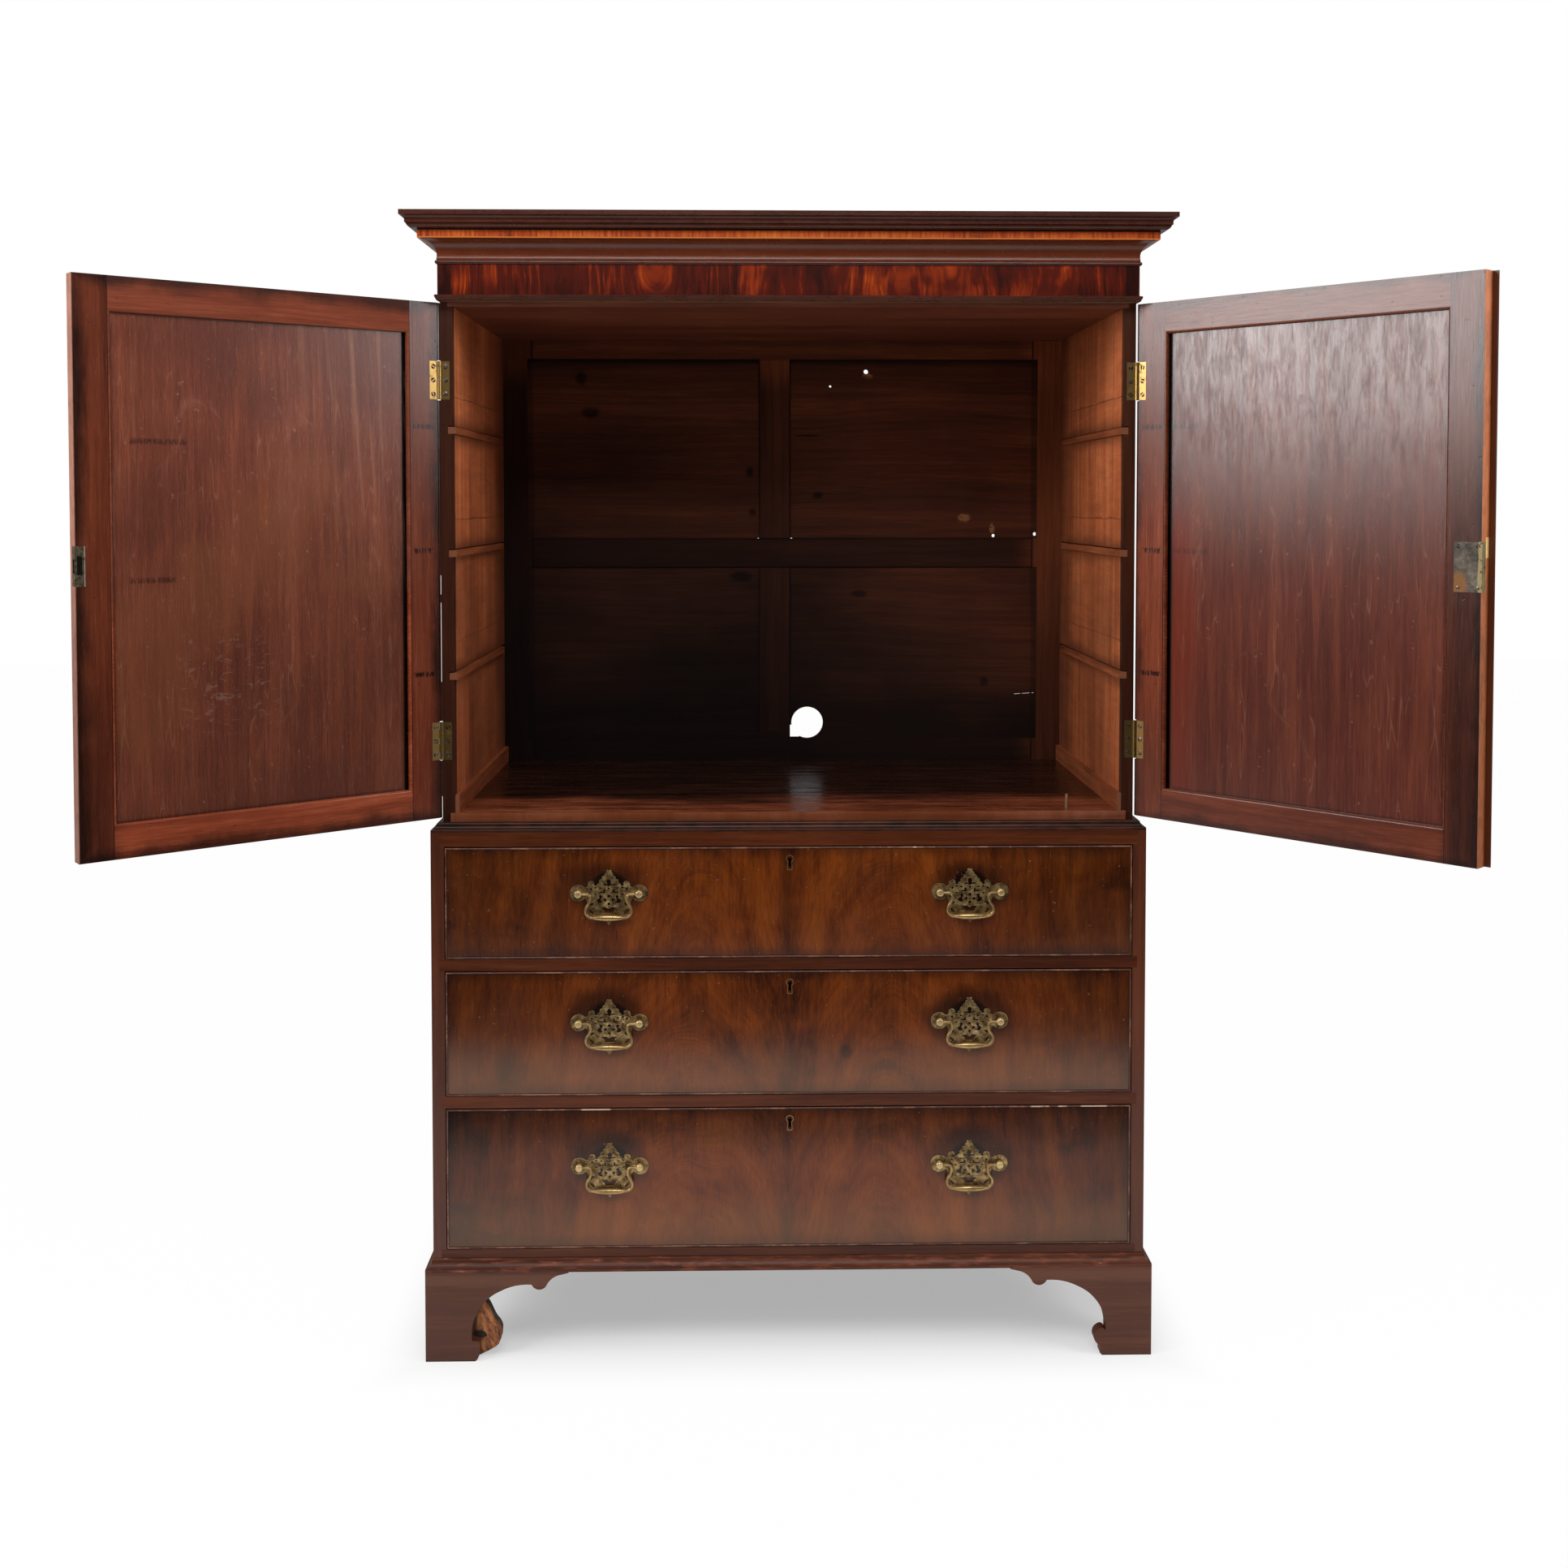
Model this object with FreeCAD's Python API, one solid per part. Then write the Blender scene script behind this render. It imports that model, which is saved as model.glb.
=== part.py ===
"""A mahogany linen press of about 1780: a two-door tray cupboard standing on a chest of three
long drawers, with bracket feet, a moulded cornice and pierced brass pulls.

Millimetres, +Z up, +X to the right as seen from the front, -Y towards the front.  The origin is
on the floor under the middle of the carcase plan.  The doors are drawn standing open.
"""
import FreeCAD, Part
import math
import os
from FreeCAD import Rotation, Vector

os.makedirs("parts", exist_ok=True)

# ---------------------------------------------------------------- driving dimensions
# lower carcase
carcase_width = 1200.0
carcase_depth = 600.0
side_thickness = 22.0
foot_height = 151.0
bottom_rail_height = 35.0
drawer_openings = (189.5, 212.5, 240.0)  # heights, top drawer first
rail_height = 20.0
top_rail_height = 24.0
rail_depth = 60.0
board_thickness = 18.0
dust_board_thickness = 8.0
housing_depth = 8.0
runner_width = 24.0
back_board_thickness = 12.0
back_board_count = 3
back_rebate_width = 11.0
stop_size = (50.0, 20.0, 6.0)  # width, depth, height

# bracket feet and base moulding
foot_projection = 12.0
bracket_thickness = 20.0
bracket_length = 240.0
rear_bracket_length = 200.0
rear_toe_width = 62.0
corner_block_size = 44.0
corner_block_lift = 6.0
base_fillet_height = 5.5
base_moulding_height = 20.0

# waist moulding
waist_height = 15.0
waist_nose_height = 5.0
waist_gap = 0.5  # between the moulding and the sides of the cupboard

# upper carcase
upper_inset = 18.0  # each side of the cupboard stands in from the chest
upper_setback = 23.0
upper_side_thickness = 20.0
cupboard_floor_rise = 11.0
cupboard_height = 848.0
back_frame_thickness = 14.0
back_frame_rebate = 10.0
back_panel_thickness = 8.0
back_groove_depth = 6.0
back_stile_width = 58.0
back_muntin_width = 62.0
back_top_rail = 55.0
back_middle_rail = 58.0
back_bottom_rail = 73.0
back_middle_rail_height = 421.0  # middle of the rail above the cupboard floor
back_muntin_offset = -17.0
cable_hole_radius = 32.0
cable_hole_from_muntin = 34.8
cable_hole_rise = 76.5  # above the cupboard floor
cable_notch_low = 47.0
cable_notch_high = 72.0
tray_runner_count = 3
tray_runner_pitch = 206.0
tray_runner_height = 11.5
tray_runner_housing = 8.0
tray_runner_stand = 5.0
tray_runner_short = 34.0
groove_play = 2.0
floor_bearer_height = 30.0
floor_bearer_width = 7.0

# cornice, from the top of the doors upwards
frieze_drop = 10.5
frieze_height = 59.5
frieze_facing = 4.0
frieze_bead_height = 9.0
frieze_bead_projection = 4.8
neck_bead_height = 6.0
neck_bead_projection = 3.5
cove_height = 33.0
cove_projection = 22.0
band_height = 15.0
band_projection = 27.5
crown_height = 26.5
crown_projection = 52.5
cornice_board_thickness = 18.0
cornice_board_drop = 8.0
glue_block_size = 30.0

# doors
door_thickness = 22.0
door_foot_gap = 6.0
door_head_gap = 1.5
door_back_gap = 1.0
door_meeting_gap = 1.5
door_stile_width = 50.0
door_rail_width = 48.0
door_tenon_length = 30.0
door_tenon_thickness = 8.0
door_panel_thickness = 8.0
door_panel_recess = 7.0
door_panel_tongue = 6.0
door_quirk_width = 8.0
door_quirk_depth = 4.0
door_bead_width = 4.5
left_door_open = 142.5  # degrees from closed
right_door_open = 133.3
astragal_width = 22.0
astragal_overlap = 9.0
astragal_thickness = 6.0

# butt hinges
hinge_length = 63.5
hinge_leaf_width = 17.0
hinge_leaf_thickness = 2.0
hinge_knuckle_radius = 3.5
hinge_pin_radius = 1.6
hinge_pin_outset = 2.0
door_edge_inset = 3.0
hinge_from_top = 97.0
hinge_from_foot = 98.0
knuckle_count = 5

# drawers
drawer_names = ("top_drawer", "middle_drawer", "bottom_drawer")
drawer_side_play = 1.5
drawer_foot_play = 1.0
drawer_head_play = 1.5
drawer_front_thickness = 22.0
drawer_side_thickness = 10.0
drawer_length = 562.0
drawer_side_drop = 8.0
drawer_bottom_lift = 10.0
drawer_bottom_thickness = 8.0
cock_bead_thickness = 3.2
cock_bead_proud = 2.0
tail_length = 15.0
tail_root = 20.0
tail_flare = 3.5
tail_pitch = 48.0

# locks
lock_width = 60.0
lock_height = 44.0
lock_depth = 14.0
bolt_width = 18.0
bolt_thickness = 6.0
bolt_length = 25.0
bolt_travel = 8.0
keyhole_drop = 28.0
keyhole_radius = 3.0
escutcheon_radius = 6.4
escutcheon_height = 25.0
escutcheon_wall = 1.2
escutcheon_depth = 4.0
door_lock_height = 436.0  # above the foot of the door
door_lock_size = (41.0, 73.0, 12.0)
keep_size = (14.5, 59.0)
keep_plate = 2.0

# pulls
pull_offset = 303.0
pull_height = 0.586  # post height as a share of the opening
post_spacing = 102.0
plate_thickness = 1.6
ear_radius = 14.2
post_radius = 3.0
post_head_radius = 6.2
post_head_depth = 8.0
bail_standoff = 8.0
bail_radius = 2.3
bail_pin_radius = 1.5
grip_radius = 5.4

# fits
close_gap = 0.3
pin_fit = 0.05

# ---------------------------------------------------------------- places worked out from the sizes
front_y = -carcase_depth / 2
back_y = carcase_depth / 2
half_width = carcase_width / 2
inner_half = half_width - side_thickness
opening_half = inner_half
lower_foot = foot_height
lower_top = foot_height + bottom_rail_height + sum(drawer_openings) + 2 * rail_height + top_rail_height

upper_half = half_width - upper_inset
waist_width = upper_inset - waist_gap
upper_inner = upper_half - upper_side_thickness
upper_front = front_y + upper_setback
back_frame_front = back_y - back_frame_thickness
floor_top = lower_top + cupboard_floor_rise + board_thickness
ceiling = floor_top + cupboard_height
upper_top = ceiling + board_thickness

frieze_foot = upper_top - frieze_drop
frieze_top = frieze_foot + frieze_height
cove_foot = frieze_top + neck_bead_height
band_foot = cove_foot + cove_height
crown_foot = band_foot + band_height
cornice_top = crown_foot + crown_height

door_foot = lower_top + waist_height + door_foot_gap
door_head = frieze_foot - door_head_gap
pin_x = upper_half + hinge_pin_outset
pin_y = upper_front - door_back_gap / 2
door_back = upper_front - door_back_gap
door_front = door_back - door_thickness
door_hinge_edge = pin_x - door_edge_inset
door_meeting_edge = door_meeting_gap / 2


# ---------------------------------------------------------------- helpers
def box(x0, x1, y0, y1, z0, z1):
    """A block between two corners."""
    return Part.makeBox(x1 - x0, y1 - y0, z1 - z0, Vector(x0, y0, z0))


def both_sides(shape):
    """A shape and its mirror image across the middle of the press."""
    return [shape.mirror(Vector(0, 0, 0), Vector(1, 0, 0)), shape]


def from_front(y):
    """Puts an outline drawn as seen from the front on the plane at y."""
    return lambda x, z: Vector(x, y, z)


def from_side(x):
    """Puts an outline drawn as seen from the side on the plane at x."""
    return lambda y, z: Vector(x, y, z)


def from_above(z):
    """Puts a plan outline at height z."""
    return lambda x, y: Vector(x, y, z)


def slab(outline, put, thickness):
    """Thickens a closed outline.  A step is a corner, or a pair (way point, end) for an arc."""
    edges = []
    here = outline[0]
    for step in list(outline[1:]) + [outline[0]]:
        if isinstance(step[0], tuple):
            via, end = step
            edges.append(Part.Arc(put(*here), put(*via), put(*end)).toShape())
        elif math.dist(here, step) > 1e-6:
            end = step
            edges.append(Part.makeLine(put(*here), put(*end)))
        here = end
    return Part.Face(Part.Wire(edges)).extrude(thickness)


def cut(shape, tools):
    """Removes tools from a shape."""
    return shape.cut(Part.makeCompound(list(tools))) if tools else shape


def joined(shapes):
    """One solid made from pieces that meet."""
    return shapes[0].multiFuse(list(shapes[1:])).removeSplitter()


def strip(profile, length, start_mitre, end_mitre, reach):
    """A length of moulding along +X.  The profile is (outwards, up); a mitre of 1 gains length
    with each step outwards and a mitre of -1 loses it.  reach is the range of outwards."""
    low, high = reach
    over = max(abs(low), abs(high)) + 1.0
    bar = slab(profile, from_side(-over), Vector(length + 2 * over, 0, 0))
    heights = (bar.BoundBox.ZMin - 1.0, bar.BoundBox.ZMax + 1.0)
    plan = [
        (-start_mitre * low, low),
        (length + end_mitre * low, low),
        (length + end_mitre * high, high),
        (-start_mitre * high, high),
    ]
    return bar.common(slab(plan, from_above(heights[0]), Vector(0, 0, heights[1] - heights[0])))


def stand(shape, corner, along, outwards, up):
    """Places a strip with its own X, Y and Z along three directions."""
    placed = shape.copy()
    placed.Placement = FreeCAD.Placement(corner, Rotation(along, outwards, up, "XYZ"))
    return placed


def moulding(profile, half, front, reach):
    """A moulding round the front and both sides, mitred at the corners."""
    low = back_y - front
    face = strip(profile, 2 * half, 1, 1, reach)
    right = strip(profile, low, 0, 1, reach)
    left = strip(profile, low, 1, 0, reach)
    x, y, z = Vector(1, 0, 0), Vector(0, 1, 0), Vector(0, 0, 1)
    return [
        stand(face, Vector(half, front, 0), -x, -y, z),
        stand(right, Vector(half, back_y, 0), -y, x, z),
        stand(left, Vector(-half, front, 0), y, -x, z),
    ]


def ring(profile, x0, x1, z0, z1, reach):
    """A bead round the inside of a rectangle seen from the front.  The profile is (inwards, y)."""
    x, y, z = Vector(1, 0, 0), Vector(0, 1, 0), Vector(0, 0, 1)
    wide = strip(profile, x1 - x0, -1, -1, reach)
    tall = strip(profile, z1 - z0, -1, -1, reach)
    return [
        stand(wide, Vector(x1, 0, z0), -x, z, y),
        stand(wide, Vector(x0, 0, z1), x, -z, y),
        stand(tall, Vector(x0, 0, z0), z, x, y),
        stand(tall, Vector(x1, 0, z1), -z, -x, y),
    ]


def save(name, shapes):
    """Writes one named part of the press."""
    solids = []
    for shape in shapes:
        solids.extend(shape.Solids)
    for solid in solids:
        if not solid.isValid():
            raise ValueError(name + " has a solid that isn't valid")
    Part.makeCompound(solids).exportStep("parts/" + name + ".step")


# ---------------------------------------------------------------- lower carcase
def drawer_spans():
    """The foot and head of each drawer opening, top drawer first."""
    spans = []
    head = lower_top - top_rail_height
    for height in drawer_openings:
        spans.append((head - height, head))
        head -= height + rail_height
    return spans


openings = drawer_spans()
rail_back = front_y + rail_depth
lower_back_front = back_y - back_board_thickness
housed_half = inner_half + housing_depth


def carcase_rails():
    """Front rails above, between and below the drawers, with mortises for the lock bolts."""
    spans = [(openings[0][1], lower_top)]
    spans += [(openings[k + 1][1], openings[k][0]) for k in range(len(openings) - 1)]
    spans.append((lower_foot, openings[-1][0]))
    rails = [box(-housed_half, housed_half, front_y, rail_back, low, high) for low, high in spans]
    mortises = [bolt_mortise(head) for low, head in openings]
    return rails, [cut(rail, mortises) for rail in rails]


def bolt_mortise(head):
    """The pocket that a drawer's lock bolt rises into."""
    half = bolt_width / 2 + 2.0
    low = lock_face + bolt_setback - 1.5
    return box(-half, half, low, low + bolt_thickness + 3.0, head - 1.0, head + bolt_travel + 1.0)


lock_face = front_y + drawer_front_thickness - lock_depth
bolt_setback = (lock_depth - bolt_thickness) / 2

rail_blanks, drawer_rails = carcase_rails()
bottom_board = box(-housed_half, housed_half, rail_back, lower_back_front, lower_foot,
                   lower_foot + board_thickness)
top_board = box(-housed_half, housed_half, rail_back, lower_back_front, lower_top - board_thickness,
                lower_top)


def runner_spans():
    """The foot and head of the runners that carry each drawer."""
    spans = []
    for k, (low, high) in enumerate(openings):
        last = k == len(openings) - 1
        spans.append((lower_foot + board_thickness if last else low - rail_height, low))
    return spans


def dust_boards():
    """Thin boards between the drawers, held in grooves in the runners."""
    boards = []
    half = inner_half - runner_width + housing_depth
    for low, high in runner_spans()[:-1]:
        middle = (low + high) / 2
        foot = middle - dust_board_thickness / 2
        boards.append(box(-half, half, rail_back, lower_back_front, foot, foot + dust_board_thickness))
    return boards


def drawer_runners():
    """Runner strips behind the rails, and the stops glued on the rails."""
    runners = []
    for low, high in runner_spans():
        blank = box(inner_half - runner_width, inner_half, rail_back, lower_back_front, low, high)
        runners += both_sides(cut(blank, dust_boards()))
    width, depth, height = stop_size
    stop_front = front_y + drawer_front_thickness + close_gap
    for low, high in openings:
        x = inner_half / 2
        stop = box(x - width / 2, x + width / 2, stop_front, stop_front + depth, low, low + height)
        runners += both_sides(stop)
    return runners


def lower_sides():
    """The two side boards, housed for the rails and boards and rebated for the back."""
    blank = box(inner_half, half_width, front_y, back_y, lower_foot, lower_top)
    rebate = box(inner_half, inner_half + back_rebate_width, lower_back_front, back_y,
                 lower_foot, lower_top)
    return both_sides(cut(blank, rail_blanks + [bottom_board, top_board, rebate]))


def lower_back_boards():
    """Three lapped boards that close the back of the chest."""
    half = inner_half + back_rebate_width
    height = (lower_top - lower_foot) / back_board_count
    boards = []
    for k in range(back_board_count):
        foot = lower_foot + k * height
        boards.append(box(-half, half, lower_back_front, back_y, foot, foot + height))
    return boards


def waist_moulding():
    """The stepped moulding on top of the chest that holds the cupboard in place."""
    foot, nose, top = lower_top, lower_top + waist_nose_height, lower_top + waist_height
    step = -waist_width * 0.45
    profile = [
        (-waist_width, foot),
        (0.0, foot),
        (0.0, nose - 2.0),
        ((-0.6, nose - 0.6), (-2.0, nose)),
        ((step * 0.75, nose + 0.9), (step, top - 4.5)),
        (step - 0.8, top - 4.5),
        ((step - 1.4, top - 1.2), (step - 4.0, top)),
        (-waist_width, top),
    ]
    return moulding(profile, half_width, front_y, (-waist_width, 0.0))


def base_moulding():
    """The moulding that covers the joint between the chest and its feet."""
    foot, out = lower_foot, foot_projection
    profile = [
        (0.0, foot),
        (out, foot),
        (out, foot + base_fillet_height),
        (out - 1.5, foot + base_fillet_height),
        ((out * 0.42, foot + base_moulding_height * 0.5), (1.8, foot + base_moulding_height - 2.0)),
        (1.8, foot + base_moulding_height),
        (0.0, foot + base_moulding_height),
    ]
    return moulding(profile, half_width, front_y, (0.0, out))


# ---------------------------------------------------------------- bracket feet
def bracket_outline(spur):
    """A shaped bracket: distance from the outer corner, and height.  One spur is broken off."""
    toe = [(0.0, 0.0), (83.0, 0.0), (87.0, 4.0)]
    if spur:
        heel = [(87.0, 17.0), ((97.0, 33.0), (88.5, 45.0)), ((83.0, 46.5), (77.5, 41.5))]
    else:
        heel = [(90.0, 11.0), (91.0, 33.0), (77.5, 35.0)]
    arch = [
        (77.5, 54.0),
        ((89.5, 88.5), (126.0, 119.5)),
        ((152.0, 128.5), (178.0, 130.0)),
        ((193.0, 121.5), (204.0, 130.5)),
        ((213.0, 140.5), (228.0, 146.5)),
        (240.0, 149.5),
        (240.0, 151.0),
        (0.0, 151.0),
    ]
    return scaled(toe + heel + arch, bracket_length / 240.0, foot_height / 151.0)


def scaled(outline, across, up):
    """An outline stretched to the size of its piece."""
    def put(point):
        return (point[0] * across, point[1] * up)

    return [tuple(put(p) for p in step) if isinstance(step[0], tuple) else put(step) for step in outline]


def mirrored(outline, sign, corner):
    """Turns steps of (distance from the corner, height) into places on one side of the press."""
    def put(point):
        return (sign * (corner - point[0]), point[1])

    return [tuple(put(p) for p in step) if isinstance(step[0], tuple) else put(step) for step in outline]


def corner_bracket_pair(sign, spur):
    """The front and side bracket at one front corner, mitred together."""
    corner, face, thick = half_width + foot_projection, carcase_depth / 2 + foot_projection, bracket_thickness
    front = slab(mirrored(bracket_outline(spur), sign, corner), from_front(-face), Vector(0, thick, 0))
    side = slab(mirrored(bracket_outline(True), -1, face), from_side(sign * corner),
                Vector(-sign * thick, 0, 0))
    tip, heel = (sign * corner, -face), (sign * (corner - thick), thick - face)
    up = Vector(0, 0, foot_height)
    beside = slab([tip, heel, (sign * corner, thick - face)], from_above(0.0), up)
    before = slab([tip, heel, (sign * (corner - thick), -face)], from_above(0.0), up)
    return [front.cut(beside), side.cut(before)]


def front_feet():
    """Two mitred pairs of brackets; the left foot has lost its front spur."""
    return corner_bracket_pair(-1, False) + corner_bracket_pair(1, True)


def rear_feet():
    """Shaped side brackets with plain raking brackets behind."""
    corner = half_width + foot_projection
    side = slab(mirrored(bracket_outline(True), 1, back_y), from_side(corner),
                Vector(-bracket_thickness, 0, 0))
    inner = corner - bracket_thickness
    rake = [
        (inner, 0.0),
        (inner - rear_toe_width, 0.0),
        (inner - rear_bracket_length, foot_height - 20.0),
        (inner - rear_bracket_length, foot_height),
        (inner, foot_height),
    ]
    behind = slab(rake, from_front(back_y - bracket_thickness), Vector(0, bracket_thickness, 0))
    return both_sides(side) + both_sides(behind)


def foot_blocks():
    """Softwood blocks glued in the corners behind the brackets."""
    inner = half_width + foot_projection - bracket_thickness
    size = corner_block_size
    front = front_y - foot_projection + bracket_thickness
    back = back_y - bracket_thickness
    blocks = []
    for y in (front, back - size):
        blocks += both_sides(box(inner - size, inner, y, y + size, corner_block_lift, foot_height))
    return blocks


# ---------------------------------------------------------------- upper carcase
upper_housed = upper_inner + housing_depth
cupboard_floor = box(-upper_housed, upper_housed, upper_front, back_frame_front,
                     floor_top - board_thickness, floor_top)
cupboard_top = box(-upper_housed, upper_housed, upper_front, back_frame_front, ceiling, upper_top)


def tray_runner_tops():
    """Heights of the housed runners, lowest first."""
    first = floor_top + floor_bearer_height + tray_runner_pitch
    return [first + k * tray_runner_pitch for k in range(tray_runner_count)]


def tray_runners():
    """Strips housed in the sides that carry sliding trays, and the bearers on the floor."""
    outer = upper_inner + tray_runner_housing
    inner = upper_inner - tray_runner_stand
    back = back_frame_front - tray_runner_short
    runners = []
    for top in tray_runner_tops():
        runners += both_sides(box(inner, outer, upper_front, back, top - tray_runner_height, top))
    bearer = box(upper_inner - floor_bearer_width, upper_inner, upper_front, back_frame_front,
                 floor_top, floor_top + floor_bearer_height)
    return runners + both_sides(bearer)


def upper_sides():
    """The cupboard sides: housed, grooved for the runners and let in for the hinges."""
    blank = box(upper_inner, upper_half, upper_front, back_y, lower_top, upper_top)
    grooves = []
    for top in tray_runner_tops():
        grooves.append(box(upper_inner, upper_inner + tray_runner_housing, upper_front,
                           back_frame_front, top - tray_runner_height, top + groove_play))
    rebate = box(upper_inner, upper_inner + back_frame_rebate, back_frame_front, back_y,
                 lower_top, upper_top)
    tools = grooves + [rebate, cupboard_floor, cupboard_top] + hinge_recesses()
    return both_sides(cut(blank, tools))


def back_panels():
    """Four thin panels; the lower right one has a later hole for cables."""
    inner_y = back_frame_front + (back_frame_thickness - back_panel_thickness) / 2
    deep = back_groove_depth
    half = upper_inner + back_frame_rebate
    middle = floor_top + back_middle_rail_height
    columns = [
        (-half + back_stile_width - deep, back_muntin_offset - back_muntin_width / 2 + deep),
        (back_muntin_offset + back_muntin_width / 2 - deep, half - back_stile_width + deep),
    ]
    rows = [
        (lower_top + back_bottom_rail - deep, middle - back_middle_rail / 2 + deep),
        (middle + back_middle_rail / 2 - deep, upper_top - back_top_rail + deep),
    ]
    panels = []
    for low, high in rows:
        for left, right in columns:
            panels.append(box(left, right, inner_y, inner_y + back_panel_thickness, low, high))
    muntin_edge = back_muntin_offset + back_muntin_width / 2
    hole_x = muntin_edge + cable_hole_from_muntin
    hole = Part.makeCylinder(cable_hole_radius, back_frame_thickness,
                             Vector(hole_x, back_frame_front, floor_top + cable_hole_rise),
                             Vector(0, 1, 0))
    notch = box(muntin_edge, hole_x - cable_hole_radius / 2, back_frame_front, back_y,
                floor_top + cable_notch_low, floor_top + cable_notch_high)
    panels[1] = cut(panels[1], [hole, notch])
    return panels


def back_frame():
    """The stiles, rails and muntins of the back."""
    half = upper_inner + back_frame_rebate
    middle = floor_top + back_middle_rail_height
    low, high = back_frame_front, back_y
    stile = box(half - back_stile_width, half, low, high, lower_top, upper_top)
    inside = half - back_stile_width
    rails = [
        box(-inside, inside, low, high, lower_top, lower_top + back_bottom_rail),
        box(-inside, inside, low, high, middle - back_middle_rail / 2, middle + back_middle_rail / 2),
        box(-inside, inside, low, high, upper_top - back_top_rail, upper_top),
    ]
    left = back_muntin_offset - back_muntin_width / 2
    right = left + back_muntin_width
    muntins = [
        box(left, right, low, high, lower_top + back_bottom_rail, middle - back_middle_rail / 2),
        box(left, right, low, high, middle + back_middle_rail / 2, upper_top - back_top_rail),
    ]
    return [cut(member, back_panels()) for member in both_sides(stile) + rails + muntins]


# ---------------------------------------------------------------- frieze and cornice
def frieze():
    """Veneered facings of the frieze."""
    inner = upper_half - frieze_facing
    front = box(-upper_half, upper_half, front_y, front_y + frieze_facing, frieze_foot, frieze_top)
    side = box(inner, upper_half, front_y + frieze_facing, back_y, upper_top, frieze_top)
    return [front] + both_sides(side)


def cornice_beads():
    """The small bead under the frieze and the one between the frieze and the cove."""
    foot, out = frieze_foot, frieze_bead_projection
    low_bead = [
        (0.0, foot),
        (out * 0.35, foot),
        (out, foot + frieze_bead_height * 0.68),
        (out, foot + frieze_bead_height * 0.85),
        ((out * 0.75, foot + frieze_bead_height * 0.98), (out * 0.3, foot + frieze_bead_height)),
        (0.0, foot + frieze_bead_height),
    ]
    foot, out = frieze_top, neck_bead_projection
    neck = [
        (-frieze_facing, foot),
        (out * 0.5, foot),
        ((out, foot + neck_bead_height / 2), (out * 0.5, foot + neck_bead_height)),
        (-frieze_facing, foot + neck_bead_height),
    ]
    return (moulding(low_bead, upper_half, front_y, (0.0, frieze_bead_projection))
            + moulding(neck, upper_half, front_y, (-frieze_facing, neck_bead_projection)))


def cornice_cove():
    """The wide hollow of the cornice."""
    out, foot, high = cove_projection, cove_foot, cove_height
    profile = [
        (-frieze_facing, foot),
        (1.0, foot),
        (1.0, foot + 3.5),
        ((out * 0.27, foot + high * 0.72), (out, foot + high - 0.8)),
        (out, foot + high),
        (-frieze_facing, foot + high),
    ]
    return moulding(profile, upper_half, front_y, (-frieze_facing, out))


def cornice_band():
    """The flat band above the cove, crossbanded on its face."""
    profile = [
        (-frieze_facing, band_foot),
        (band_projection, band_foot),
        (band_projection, band_foot + band_height),
        (-frieze_facing, band_foot + band_height),
    ]
    return moulding(profile, upper_half, front_y, (-frieze_facing, band_projection))


def cornice_crown():
    """The top member: an ovolo, a fillet, a hollow and a square edge."""
    foot, out, high = crown_foot, crown_projection, crown_height
    profile = [
        (-frieze_facing, foot),
        (out - 19.0, foot),
        ((out - 12.5, foot + 1.6), (out - 10.0, foot + 7.0)),
        (out - 8.0, foot + 7.0),
        (out - 8.0, foot + 11.0),
        ((out - 5.6, foot + 16.5), (out - 1.5, foot + 18.8)),
        (out, foot + 18.8),
        (out, foot + high),
        (-frieze_facing, foot + high),
    ]
    return moulding(profile, upper_half, front_y, (-frieze_facing, out))


def cornice_frame():
    """The softwood box behind the frieze and mouldings, with glue blocks in its corners."""
    thick = cornice_board_thickness
    outer = upper_half - frieze_facing
    front = front_y + frieze_facing
    top = cornice_top - cornice_board_drop
    face = box(-outer, outer, front, front + thick, frieze_foot, top)
    side = box(outer - thick, outer, front + thick, back_y - thick, upper_top, top)
    rear = box(-outer, outer, back_y - thick, back_y, upper_top, top)
    size = glue_block_size
    blocks = []
    for y in (front + thick, back_y - thick - size):
        blocks += both_sides(box(outer - thick - size, outer - thick, y, y + size, upper_top, top))
    return [face] + both_sides(side) + [rear] + blocks


# ---------------------------------------------------------------- hinges
def hinge_feet():
    """The foot of each hinge, upper and lower."""
    return [door_head - hinge_from_top - hinge_length, door_foot + hinge_from_foot]


def knuckle_spans(foot):
    """The foot and head of each knuckle of one hinge."""
    step = hinge_length / knuckle_count
    return [(foot + k * step, foot + (k + 1) * step) for k in range(knuckle_count)]


def hinge_recesses():
    """What is cut out of the right side of the carcase for its hinge leaves."""
    tools = []
    for foot in hinge_feet():
        tools.append(box(pin_x - hinge_leaf_width, upper_half + 1.0, upper_front - 1.0,
                         upper_front + hinge_leaf_thickness, foot, foot + hinge_length))
        tools.append(Part.makeCylinder(hinge_knuckle_radius + close_gap, hinge_length + 2 * close_gap,
                                       Vector(pin_x, pin_y, foot - close_gap)))
    return tools


def hinge_leaf(foot, ours, leaf_low, leaf_high):
    """One leaf of the right-hand hinge with its own knuckles.  The leaf lies between two y."""
    pieces = []
    clear = hinge_knuckle_radius + close_gap
    leaf = box(pin_x - hinge_leaf_width, pin_x, leaf_low, leaf_high, foot, foot + hinge_length)
    gaps = []
    for k, (low, high) in enumerate(knuckle_spans(foot)):
        if k % 2 == ours:
            pieces.append(Part.makeCylinder(hinge_knuckle_radius, high - low - close_gap,
                                            Vector(pin_x, pin_y, low + close_gap / 2)))
        else:
            gaps.append(Part.makeCylinder(clear, high - low, Vector(pin_x, pin_y, low)))
    solid = joined([cut(leaf, gaps)] + pieces)
    bore = Part.makeCylinder(hinge_pin_radius + pin_fit, hinge_length + 2.0,
                             Vector(pin_x, pin_y, foot - 1.0))
    return solid.cut(bore)


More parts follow.
